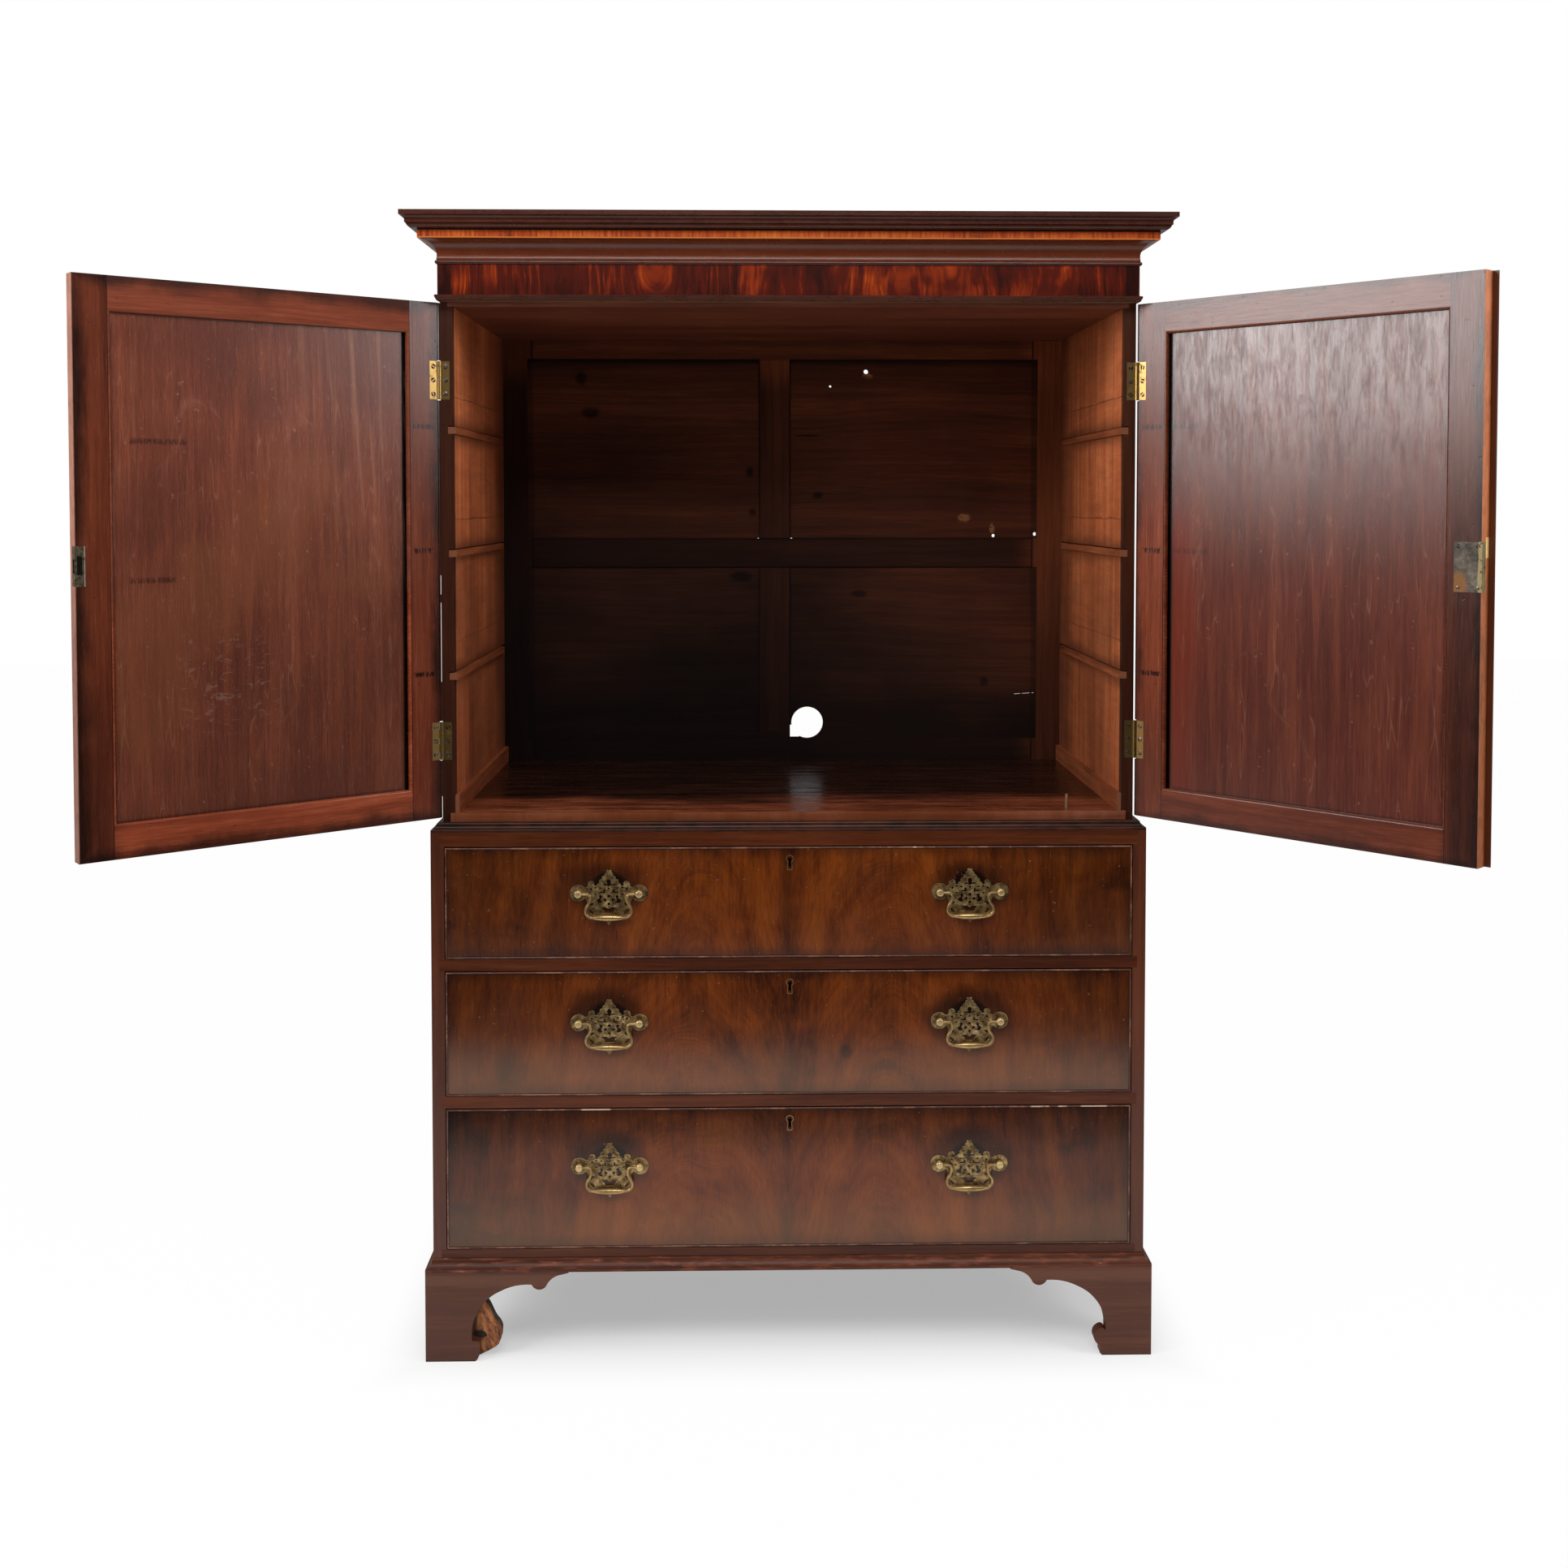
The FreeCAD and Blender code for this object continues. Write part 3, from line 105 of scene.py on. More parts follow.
TONES = {
    "case": ((0.034, 0.0058, 0.001), (0.068, 0.0135, 0.0025), (0.112, 0.026, 0.006)),
    "cove": ((0.052, 0.009, 0.002), (0.094, 0.017, 0.004), (0.135, 0.030, 0.008)),
    "cornice": ((0.020, 0.0032, 0.0008), (0.042, 0.0070, 0.0016), (0.072, 0.014, 0.0036)),
    "foot": ((0.052, 0.013, 0.005), (0.074, 0.021, 0.009), (0.100, 0.031, 0.015)),
    "dark": ((0.012, 0.003, 0.001), (0.032, 0.0075, 0.0025), (0.066, 0.016, 0.006)),
    "door_frame": ((0.052, 0.009, 0.003), (0.112, 0.021, 0.007), (0.180, 0.042, 0.016)),
    "left_panel": ((0.078, 0.017, 0.008), (0.128, 0.030, 0.014), (0.182, 0.054, 0.028)),
    "right_panel": ((0.060, 0.010, 0.005), (0.104, 0.021, 0.011), (0.150, 0.040, 0.021)),
    "bare_side": ((0.210, 0.046, 0.012), (0.380, 0.096, 0.028), (0.500, 0.155, 0.055)),
    "tray_strip": ((0.130, 0.030, 0.010), (0.270, 0.070, 0.024), (0.400, 0.125, 0.050)),
    "cupboard_board": ((0.070, 0.015, 0.006), (0.160, 0.038, 0.015), (0.260, 0.075, 0.032)),
    "back_board": ((0.026, 0.0055, 0.0015), (0.056, 0.013, 0.0035), (0.100, 0.025, 0.007)),
    "back_frame": ((0.034, 0.007, 0.002), (0.066, 0.015, 0.004), (0.110, 0.028, 0.008)),
    "wall_side": ((0.074, 0.027, 0.011), (0.140, 0.058, 0.025), (0.215, 0.100, 0.048)),
    "softwood": ((0.105, 0.043, 0.017), (0.205, 0.094, 0.040), (0.315, 0.160, 0.076)),
    "drawer_oak": ((0.105, 0.044, 0.017), (0.215, 0.104, 0.044), (0.320, 0.172, 0.080)),
    "oak": ((0.10, 0.045, 0.018), (0.20, 0.105, 0.045), (0.30, 0.17, 0.08)),
    "peg": ((0.12, 0.052, 0.022), (0.21, 0.105, 0.052), (0.30, 0.165, 0.09)),
}
# how much wax is on the inside of each door, and how strongly its grain catches the light
COAT = {"left": 0.15, "right": 0.82}
SHEEN = {"left": 0.5, "right": 0.16}


# ---------------------------------------------------------------- camera, lamps and floor

def set_camera():
    """A camera at eye height in front of the press, a little left of its middle."""
    lens = bpy.data.cameras.new("eye")
    lens.sensor_width, lens.lens = 36, 37.97
    lens.shift_y = -0.1412
    lens.clip_start, lens.clip_end = 0.05, 60
    camera = bpy.data.objects.new("eye", lens)
    camera.location = (-0.0646, -3.0533, 1.4383)
    camera.rotation_euler = (math.pi / 2 - 0.0347, 0, -0.0199)
    bpy.context.scene.collection.objects.link(camera)
    bpy.context.scene.camera = camera


def hang_lamp(name, place, aim, width, height, power):
    """A soft box at place that faces aim."""
    lamp = bpy.data.lights.new(name, "AREA")
    lamp.shape, lamp.size, lamp.size_y = "RECTANGLE", width, height
    lamp.energy = power
    holder = bpy.data.objects.new(name, lamp)
    holder.location = place
    holder.rotation_mode = "QUATERNION"
    holder.rotation_quaternion = (Vector(aim) - Vector(place)).to_track_quat("-Z", "Y")
    bpy.context.scene.collection.objects.link(holder)


class Value:
    """A number, colour or place in a finish. Arithmetic on it adds Math nodes."""

    def __init__(self, finish, socket):
        self.finish, self.socket = finish, socket

    def math(self, operation, *terms):
        return self.finish.node("ShaderNodeMath", {"operation": operation}, terms)

    def __add__(self, other):
        return self.math("ADD", self, other)

    def __radd__(self, other):
        return self.math("ADD", other, self)

    def __sub__(self, other):
        return self.math("SUBTRACT", self, other)

    def __rsub__(self, other):
        return self.math("SUBTRACT", other, self)

    def __mul__(self, other):
        return self.math("MULTIPLY", self, other)

    def __rmul__(self, other):
        return self.math("MULTIPLY", other, self)

    def __truediv__(self, other):
        return self.math("DIVIDE", self, other)

    def __pow__(self, other):
        return self.math("POWER", self, other)

    def __lt__(self, other):
        return self.math("LESS_THAN", self, other)

    def __gt__(self, other):
        return self.math("GREATER_THAN", self, other)

    def __abs__(self):
        return self.math("ABSOLUTE", self)

    def __neg__(self):
        return self.math("MULTIPLY", self, -1)

    def ease(self, start, end):
        """0 before start and 1 after end, with a smooth step between them."""
        if start > end:
            return 1 - self.ease(end, start)
        return self.finish.node("ShaderNodeMapRange", {"interpolation_type": "SMOOTHSTEP"},
                                (self, start, end, 0, 1))

    def band(self, middle, half, soft):
        """1 in a band round middle, fading over soft at both sides."""
        return abs(self - middle).ease(half + soft, half)

    def shade(self, amount):
        """This colour made lighter or darker."""
        return self.finish.shade(self, amount)

    def mix(self, share, other):
        """This colour turning into another."""
        return self.finish.mix(share, self, other)

    def least(self, other):
        return self.math("MINIMUM", self, other)

    def most(self, other):
        return self.math("MAXIMUM", self, other)


class Finish:
    """A material, built up node by node."""

    def __init__(self, name, tree=None):
        if tree is None:
            self.material = bpy.data.materials.new(name)
            self.material.use_nodes = True
            tree = self.material.node_tree
        self.tree = tree
        self.tree.nodes.clear()

    def node(self, kind, settings=None, sockets=(), out=0):
        """Adds a node of that kind, sets it up, fills its sockets and gives one of its outputs."""
        made = self.tree.nodes.new(kind)
        for name, value in (settings or {}).items():
            if name == "stops":
                elements = made.color_ramp.elements
                while len(elements) < len(value):
                    elements.new(0.5)
                for element, (where, colour) in zip(elements, value):
                    element.position, element.color = where, (*colour, 1)
            else:
                setattr(made, name, value)
        for name, value in sockets.items() if isinstance(sockets, dict) else enumerate(sockets):
            socket = made.inputs[name]
            if isinstance(value, Value):
                self.tree.links.new(value.socket, socket)
            elif socket.type == "RGBA" and len(value) == 3:
                socket.default_value = (*value, 1)
            else:
                socket.default_value = value
        return Value(self, made.outputs[out]) if made.outputs else None

    def place(self, centre=None, turn=0):
        """Where a point is on the piece, or from a centre, turned about the upright axis."""
        here = self.node("ShaderNodeTexCoord", out=3)
        if centre is None:
            return here
        return self.node("ShaderNodeMapping", {"vector_type": "TEXTURE"},
                         {"Vector": here, "Location": centre, "Rotation": (0, 0, turn)})

    def parts(self, vector):
        """The x, y and z of a place."""
        x = self.node("ShaderNodeSeparateXYZ", None, (vector,))
        outputs = x.socket.node.outputs
        return x, Value(self, outputs[1]), Value(self, outputs[2])

    def point(self, x, y, z):
        return self.node("ShaderNodeCombineXYZ", None, (x, y, z))

    def cloud(self, point, scale=1, detail=2, roughness=0.5, distortion=0):
        """Soft noise from 0 to 1."""
        return self.node("ShaderNodeTexNoise", None,
                         {"Vector": point, "Scale": scale, "Detail": detail,
                          "Roughness": roughness, "Distortion": distortion})

    def noise(self, x, y, z, detail=2, roughness=0.5, distortion=0):
        """Soft noise from 0 to 1 where the three numbers are already scaled."""
        return self.cloud(self.point(x, y, z), 1, detail, roughness, distortion)

    def mix(self, share, first, second):
        """The first colour turning into the second."""
        return self.node("ShaderNodeMix", {"data_type": "RGBA"}, {0: share, 6: first, 7: second}, 2)

    def shade(self, colour, amount):
        """A colour made lighter or darker."""
        return self.node("ShaderNodeVectorMath", {"operation": "SCALE"}, {0: colour, 3: amount})

    def ramp(self, share, *stops):
        return self.node("ShaderNodeValToRGB", {"stops": stops}, (share,))

    def polish(self, colour, roughness=0.4, height=None, depth=0.0003, strength=0.6, **constants):
        """Joins colour, roughness and surface height to the shader of the finish."""
        sockets = {"Base Color": colour, "Roughness": roughness}
        sockets.update({name.replace("_", " "): value for name, value in constants.items()})
        if height is not None:
            sockets["Normal"] = self.node("ShaderNodeBump", None,
                                          {"Height": height, "Strength": strength, "Distance": depth})
        surface = self.node("ShaderNodeBsdfPrincipled", None, sockets)
        self.node("ShaderNodeOutputMaterial", None, {"Surface": surface})
        return self.material


def lay_floor():
    """A pale floor that runs out into white and keeps the shadow of the press."""
    floor = shape("floor", bpy.ops.mesh.primitive_plane_add, size=24)
    paint = Finish("pale_floor")
    x, y = paint.parts(paint.place())[:2]
    mirrored = paint.node("ShaderNodeLightPath", out=3)
    paper = paint.mix(mirrored * y.ease(-1.35, -2), (0.8, 0.8, 0.8), (0.02, 0.02, 0.02))
    lit = paint.node("ShaderNodeBsdfDiffuse", None, {"Color": paper})
    glow = paint.node("ShaderNodeEmission", None, {"Color": (1, 1, 1, 1), "Strength": 1})
    outside = (abs(x) - CHEST_CORNER[0]).most(abs(y) - CHEST_CORNER[1])
    seen = paint.node("ShaderNodeLightPath")
    share = seen * (0.4 + 0.58 * outside.ease(-0.05, 0.12))
    surface = paint.node("ShaderNodeMixShader", None, (share, lit, glow))
    paint.node("ShaderNodeOutputMaterial", None, {"Surface": surface})
    floor.data.materials.append(paint.material)


def light_room():
    """White behind the press, a dim room in front of it, and soft boxes at both sides and above."""
    world = bpy.data.worlds.new("room")
    world.use_nodes = True
    bpy.context.scene.world = world
    room = Finish("room", world.node_tree)
    way = room.node("ShaderNodeTexCoord", out=0)
    y, z = room.parts(way)[1:]
    back = y.ease(-0.3, 0.7)
    above = z.ease(0.35, 0.95)
    mirrored = room.node("ShaderNodeLightPath", out=3)
    dim = 0.2 + 0.3 * back + 0.15 * above
    gloom = 0.012 + 0.22 * back + 0.1 * above
    seen = room.node("ShaderNodeLightPath")
    level = dim + mirrored * (gloom - dim)
    level = level + seen * (1 - level)
    tone = room.node("ShaderNodeBackground", None, {"Color": (1, 1, 1), "Strength": level})
    room.node("ShaderNodeOutputWorld", None, {"Surface": tone})
    hang_lamp("left_box", (-3, -1.6, 2.42), (0.3, -0.2, 1.2), 1.9, 1.4, 84)
    hang_lamp("right_box", (3, -1.3, 2.5), (-0.3, -0.2, 1.2), 1.4, 1.4, 50)
    hang_lamp("top_box", (0, -2.6, 3.5), (0, 0, 1.1), 2.6, 1.2, 62)


# ---------------------------------------------------------------- timber

def begin(name):
    """A new finish, and the x, y and z of a point on its piece."""
    finish = Finish(name)
    return finish, *finish.parts(finish.place())


def timber(finish, along, across, deep, tones, wander=1, contrast=1):
    """The colour and the fine grain of a board. Grain runs along, growth rings lie across."""
    drift = finish.noise(along * 1.6, across * 5, deep * 5, 1) - 0.5
    line = across + drift * (0.034 * wander)
    broad = finish.noise(along * 0.8, line * 20, deep * 20, 3, 0.6)
    streak = finish.noise(along * 4, line * 120, deep * 120, 2, 0.6)
    fine = finish.noise(along * 26, line * 620, deep * 620, 1)
    cloudy = finish.noise(along * 4.5, across * 9, deep * 9, 2, 0.6)
    share = (broad * 0.36 + streak * 0.28 + fine * 0.16 + cloudy * 0.2 - 0.5) * contrast + 0.5
    return finish.ramp(share, *zip((0.34, 0.5, 0.66), TONES[tones])), fine


def mitred(finish, corner):
    """Along and across a piece that turns at a mitred corner, then z, x and y."""
    x, y, z = finish.parts(finish.place())
    side = (abs(x) - corner[0]) > (-y - corner[1])
    return x + (y - x) * side, y + (abs(x) - y) * side, z, x, y


def straight_wood(name, grain, tones, roughness=0.32, contrast=1, **constants):
    """Wood with its grain along one axis of the press."""
    finish, x, y, z = begin(name)
    along, across, deep = {"x": (x, z, y), "y": (y, z, x), "z": (z, x, y)}[grain]
    colour, fine = timber(finish, along, across, deep, tones, contrast=contrast)
    return finish.polish(colour, roughness, fine, 0.0002, **constants)


def mitred_wood(name, corner, tones, roughness, bruised=0.6, **constants):
    """A moulding whose grain turns at the mitre: along the front, then along each side."""
    finish = Finish(name)
    along, across, z, x, y = mitred(finish, corner)
    colour, fine = timber(finish, along, z * 1.3 + across, across, tones, contrast=0.5 + bruised)
    bruise = finish.noise(x * 30, y * 30, z * 60, 3, 0.6)
    colour = colour.shade(1.1 - bruised + bruise.ease(0.3, 0.62) * bruised)
    return finish.polish(colour, roughness + bruise * 0.12, fine, 0.0001, **constants)


def base_moulding_finish():
    """Red-brown wood with knocks along it that show paler, rawer wood."""
    finish = Finish("base_mahogany")
    along, across, z, x, y = mitred(finish, CHEST_CORNER)
    colour, fine = timber(finish, along, z * 1.3 + across, across, "case", contrast=1.1)
    knocked = finish.noise(x * 26, y * 26, z * 160, 3, 0.6)
    colour = colour.mix(knocked.ease(0.5, 0.6) * 0.55, (0.185, 0.04, 0.014))
    colour = colour.mix(knocked.ease(0.66, 0.74) * 0.5, (0.36, 0.2, 0.14))
    return finish.polish(colour, 0.36 + knocked * 0.15, fine, 0.0001, Specular_IOR_Level=0.35)


def foot_finish():
    """Dull brown wood of the brackets: level grain, dark at the floor, rubbed under the moulding."""
    finish = Finish("foot_mahogany")
    along, across, z, x, y = mitred(finish, CHEST_CORNER)
    colour, fine = timber(finish, along, z * 1.3 + across, across, "foot", contrast=1.1)
    grain = finish.noise(along * 20, z * 420, across * 20, 2, 0.6)
    # painted light: the feet on the right are lighter
    tone = (0.8 + grain * 0.4) * (1 + 0.25 * (x > 0))
    tone = tone * (1 - 0.6 * (z + grain * 0.003).ease(0.006, 0.001))
    rub = (z + (grain - 0.5) * 0.02).ease(0.122, 0.134) * z.ease(0.15, 0.144)
    colour = finish.mix(rub * 0.35, colour.shade(tone), (0.17, 0.062, 0.03))
    return finish.polish(colour, 0.36 + grain * 0.14, fine, 0.0001, Specular_IOR_Level=0.4)


def oval(u, v, middle, size):
    """How far a point is from the middle of an oval: 1 on its rim, more outside it."""
    return (((u - middle[0]) / size[0]) ** 2 + ((v - middle[1]) / size[1]) ** 2) ** 0.5


def spot(finish, u, v, seed, middle, size):
    """0 at the middle of a dark spot with an uneven rim, 1 outside it."""
    wobble = finish.noise(u * 40, v * 40, seed, 2) - 0.5
    return (oval(u, v, middle, size) + wobble * 0.7).ease(0.5, 1.3)


def drawer_veneer(drawer, pull_height, rise):
    """Bookmatched flame veneer on one drawer front, darker round the pulls and at the edges, with painted
    shade under the back plates and a painted floor reflection low on the lower fronts.
    """
    low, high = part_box(drawer + "_front")
    finish, x, y, z = begin(drawer + "_veneer")
    u = abs(x)
    side = (x > 0) * 0.7
    warp = finish.noise(u * 5 + side, z * 3, low.z * 9, 2) - 0.5
    ripple = finish.noise(u * 26, z * 12, low.z * 9, 2) - 0.5
    ring = (((u - 0.16) ** 2 + ((z - (low.z - rise)) / 2.6) ** 2) ** 0.5
            + warp * 0.11 + ripple * 0.01)
    broad = finish.noise(ring * 26, z * 2.5, u * 2.5 + low.z, 3, 0.55)
    streak = finish.noise(ring * 150, z * 7, u * 6, 3, 0.6)
    fine = finish.noise(ring * 700, z * 40, u * 10, 1)
    cloudy = finish.noise(u * 12 + side, z * 11, low.z * 5, 3, 0.6, 0.6)
    mottle = finish.noise(u * 330, z * 42, low.z, 2, 0.6)
    rain = finish.noise(x * 75, z * 4, low.z * 3, 2, 0.6)
    figure = broad * 0.34 + streak * 0.11 + fine * 0.1 + cloudy * 0.27 + mottle * 0.18
    colour = finish.ramp(figure, (0.36, (0.042, 0.007, 0.0008)), (0.5, (0.124, 0.0235, 0.0012)),
                         (0.64, (0.205, 0.047, 0.003)))
    halo = oval(u, z, (PULL_REACH, pull_height + 0.006), (0.062, 0.046))
    # painted shade: the front is darkened under each back plate, where its piercings show it
    painted_plate_shade = oval(u, z, (PULL_REACH, pull_height + 0.004), (0.036, 0.034))
    edge = (z - low.z).least(high.z - z).least(high.x - u)
    # darker round the pulls, at the edges and in streaks, with the painted shade under the plates
    dirt_and_shade = (halo + warp).ease(0.75, 1.35) * 0.62 + 0.38
    dirt_and_shade = dirt_and_shade * (1 - 0.8 * painted_plate_shade.ease(1.05, 0.8))
    dirt_and_shade = dirt_and_shade * (1 - 0.34 * rain.ease(0.44, 0.7) * z.ease(high.z - 0.14, high.z - 0.01))
    heart = (u + warp * 0.05 + ripple * 0.02).ease(0.002, 0.024)
    dirt_and_shade = dirt_and_shade * (0.7 + 0.3 * heart)
    if drawer == "middle_drawer":
        dirt_and_shade = dirt_and_shade * (0.35 + 0.65 * spot(finish, x, z, 4, (0.0945, 0.518), (0.01, 0.015)))
    smudge = finish.noise(x * 7, z * 9, low.z * 3, 3, 0.6)
    dirt_and_shade = dirt_and_shade * (1 - 0.55 * smudge.ease(0.52, 0.68) * u.ease(0.3, 0.5))
    dirt_and_shade = dirt_and_shade * (0.62 + 0.38 * (edge + warp * 0.02).ease(0, 0.022))
    dirt_and_shade = dirt_and_shade * (1 - 0.42 * (u + warp * 0.2).ease(0.22, 0.56))
    if drawer == "bottom_drawer":
        dirt_and_shade = dirt_and_shade * (1 - 0.35 * z.ease(high.z - 0.09, high.z - 0.03))
    colour = colour.shade(dirt_and_shade)
    smear = finish.noise(x * 26, z * 5, low.z * 7, 3, 0.6)
    colour = colour.shade(0.78 + smear * 0.4)
    if drawer != "top_drawer":
        # painted reflection of the white floor, paler low on the two lower fronts
        painted_floor_sheen = (z + warp * 0.06).ease(low.z + 0.11, low.z + 0.02)
        colour = colour.mix(painted_floor_sheen * 0.18, (0.3, 0.165, 0.085))
    haze = finish.noise(x * 9, z * 14, y, 3)
    nicks = dents(finish, x, y, z, 120)
    colour = colour.mix(nicks * 0.3, (0.3, 0.13, 0.06))
    bow = (z - (low.z + high.z) / 2) ** 2 * -0.42
    return finish.polish(colour, 0.18 + haze * 0.14, bow + fine * 0.00006 - nicks * 0.0002, 1, 1)


def bead_finish():
    """Cock beads: dark polish, painted paler along their noses as highlight and wear."""
    finish, x, y, z = begin("cock_beads")
    colour, fine = timber(finish, x, z, y, "cornice")
    wear = finish.noise(x * 22, y * 22, z * 22, 4, 0.7)
    nose = y.ease(-0.301, -0.3018)
    # painted highlight and wear along the noses of the beads
    colour = colour.mix(nose * (0.1 + 0.75 * wear.ease(0.46, 0.64)), (0.23, 0.105, 0.062))
    # painted highlights and bare wear in short stretches
    for start, end, height in BEAD_HIGHLIGHTS_AND_WEAR:
        bare = x.ease(start, start + 0.004) * x.ease(end, end - 0.004) * (abs(z - height) < 0.006)
        colour = colour.mix(bare * nose * wear.ease(0.34, 0.5), (0.46, 0.31, 0.23))
    return finish.polish(colour, 0.15 + wear * 0.1, fine, 0.0001)


def frieze_veneer():
    """Flame veneer in short lengths, with dark ends at the corners."""
    finish = Finish("frieze_veneer")
    along, across, z, x, y = mitred(finish, CUPBOARD_CORNER)
    lean = finish.noise(along * 2.2, 0, 3, 1) - 0.5
    sway = finish.noise(along * 9, z * 12, across, 2) - 0.5
    line = along + z * lean * 2.6 + sway * 0.05
    broad = finish.noise(line * 17, z * 7, across, 2, 0.6, 0.8)
    streak = finish.noise(line * 80, z * 14, across, 3, 0.65)
    patch = finish.noise(along * 7, z * 18, across, 3)
    figure = broad * 0.42 + streak * 0.33 + patch * 0.25
    colour = finish.ramp(figure, (0.38, (0.022, 0.0018, 0.0003)), (0.51, (0.066, 0.0046, 0.0004)),
                         (0.6, (0.2, 0.02, 0.0008)), (0.7, (0.42, 0.09, 0.006)))
    ends = abs(x).ease(0.556, 0.561)
    colour = colour.shade(1 - ends * 0.72)
    return finish.polish(colour, 0.24, streak, 0.0001)


def crossband_veneer():
    """Short upright grain round the cornice, with pale stringing below and a dark fillet above."""
    low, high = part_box("cornice_band")
    finish = Finish("crossband_veneer")
    along, across, z = mitred(finish, CUPBOARD_CORNER)[:3]
    streak = finish.noise(along * 180, z * 18, across * 3, 3, 0.6)
    lengths = finish.noise(along * 7, 0, across, 1, 0.6)
    share = streak * 0.6 + lengths * 0.4
    colour = finish.ramp(share, (0.34, (0.1, 0.01, 0.001)), (0.5, (0.33, 0.045, 0.004)),
                         (0.66, (0.52, 0.12, 0.014)))
    colour = colour.mix(z.ease(low.z + 0.002, low.z + 0.0014), (0.44, 0.13, 0.024))
    colour = colour.mix(z.ease(high.z - 0.003, high.z - 0.0022), (0.022, 0.006, 0.003))
    return finish.polish(colour, 0.26, streak, 0.0001)


def dents(finish, x, y, z, size):
    """Scattered small knocks and rubbed spots, 1 at their middles."""
    spots = finish.noise(x * size, y * size, z * size, 2, 0.75)
    return spots.ease(0.665, 0.72)


def door_place(finish, side):
    """How far a point is from the hinge line, how deep in the door, and its height."""
    x, y, z = finish.parts(finish.place(HINGE_LINE[side], DOOR_OPENED[side]))
    return abs(x), y, z


def scrape(finish, u, deep, z, start, end, height, seed):
    """A row of dark nicks where a tray has rubbed the door."""
    nicks = finish.noise(u * 300, z * 60, seed, 2)
    row = (z + (nicks - 0.5) * 0.008).band(height, 0.002, 0.004) * (deep > DOOR_INSIDE)
    return row * u.ease(start - 0.006, start) * u.ease(end + 0.006, end) * nicks.ease(0.38, 0.54)


def door_frame_finish(side):
    """Stiles with upright grain between which the rails run level, both faces and worn edges."""
    finish = Finish(side + "_door_frame")
    u, deep, z = door_place(finish, side)
    rail = (u > RAIL_START) * (u < RAIL_END)
    along = z + (u - z) * rail
    across = u + (z - u) * rail
    colour = timber(finish, along, across + rail * 0.7, deep, "door_frame", 0.7)[0]
    if side == "left":
        tone = 1 + rail * (0.95 - 0.52 * (z > 1.3))
        tone = tone * (1 - 0.42 * u.ease(0.5, 0.56) * z.ease(1.45, 1))
    else:
        tone = 1 - (0.25 + 0.4 * z.ease(1.58, 1.34)) * u.ease(0.52, 0.55)
        tone = tone * (1 + 0.4 * (u < RAIL_START) * z.ease(1.6, 1.4) * z.ease(1, 1.3))
    for number, height in enumerate(TRAY_HEIGHTS):
        tone = tone * (1 - 0.85 * scrape(finish, u, deep, z, 0.014, 0.046, height, 3 + number))
    tone = 0.72 + (deep > DOOR_INSIDE) * (tone - 0.72)
    joint = u.band(RAIL_START, 0.0002, 0.0008).most(u.band(RAIL_END, 0.0002, 0.0008))
    tone = tone * (1 - 0.75 * joint)
    colour = colour.shade(tone)
    worn = u.ease(FREE_EDGE, 0.5828)
    edge_tone = (0.3, 0.125, 0.08) if side == "left" else (0.46, 0.13, 0.038)
    patches = finish.noise(deep * 60, z * 30, u, 3, 0.7)
    bare = worn * (0.7 + 0.3 * patches.ease(0.38, 0.55)) * (deep > DOOR_OUTSIDE)
    colour = colour.mix(bare, finish.shade(edge_tone, 0.66 + 0.34 * z.ease(1.2, 1.45)))
    colour = colour.shade(1 - 0.8 * (deep < DOOR_OUTSIDE))
    if side == "right":
        selvedge = worn * (z > 1.362) * (z < 1.392) * deep.band(-0.0175, 0.005, 0.0005)
        colour = colour.mix(selvedge, (0.72, 0.46, 0.17))
    smut = finish.noise(u * 11, z * 7, deep * 9, 4, 0.65)
    border = (FREE_EDGE - u).least(u - 0.001).least(z - 0.9135).least(1.7745 - z)
    reach, depth = (0.026, 0.78) if side == "left" else (0.016, 0.6)
    darkening = (border + (smut - 0.5) * 0.04).ease(reach, 0) * (1 - worn)
    colour = colour.shade((0.8 + smut * 0.44) * (1 - depth * darkening))
    knocks = dents(finish, u, deep, z, 80)
    colour = colour.shade(1 - knocks * 0.35)
    grain = finish.noise(along * 24, across * 420, deep * 60, 2, 0.7)
    colour = colour.shade(0.74 + grain * 0.52)
    rough = 0.14 + worn * 0.3 + grain * 0.2
    if side == "left":
        rough = rough + rail * (z > 1.3) * 0.8
    return finish.polish(colour, rough, grain - knocks, 0.00012)


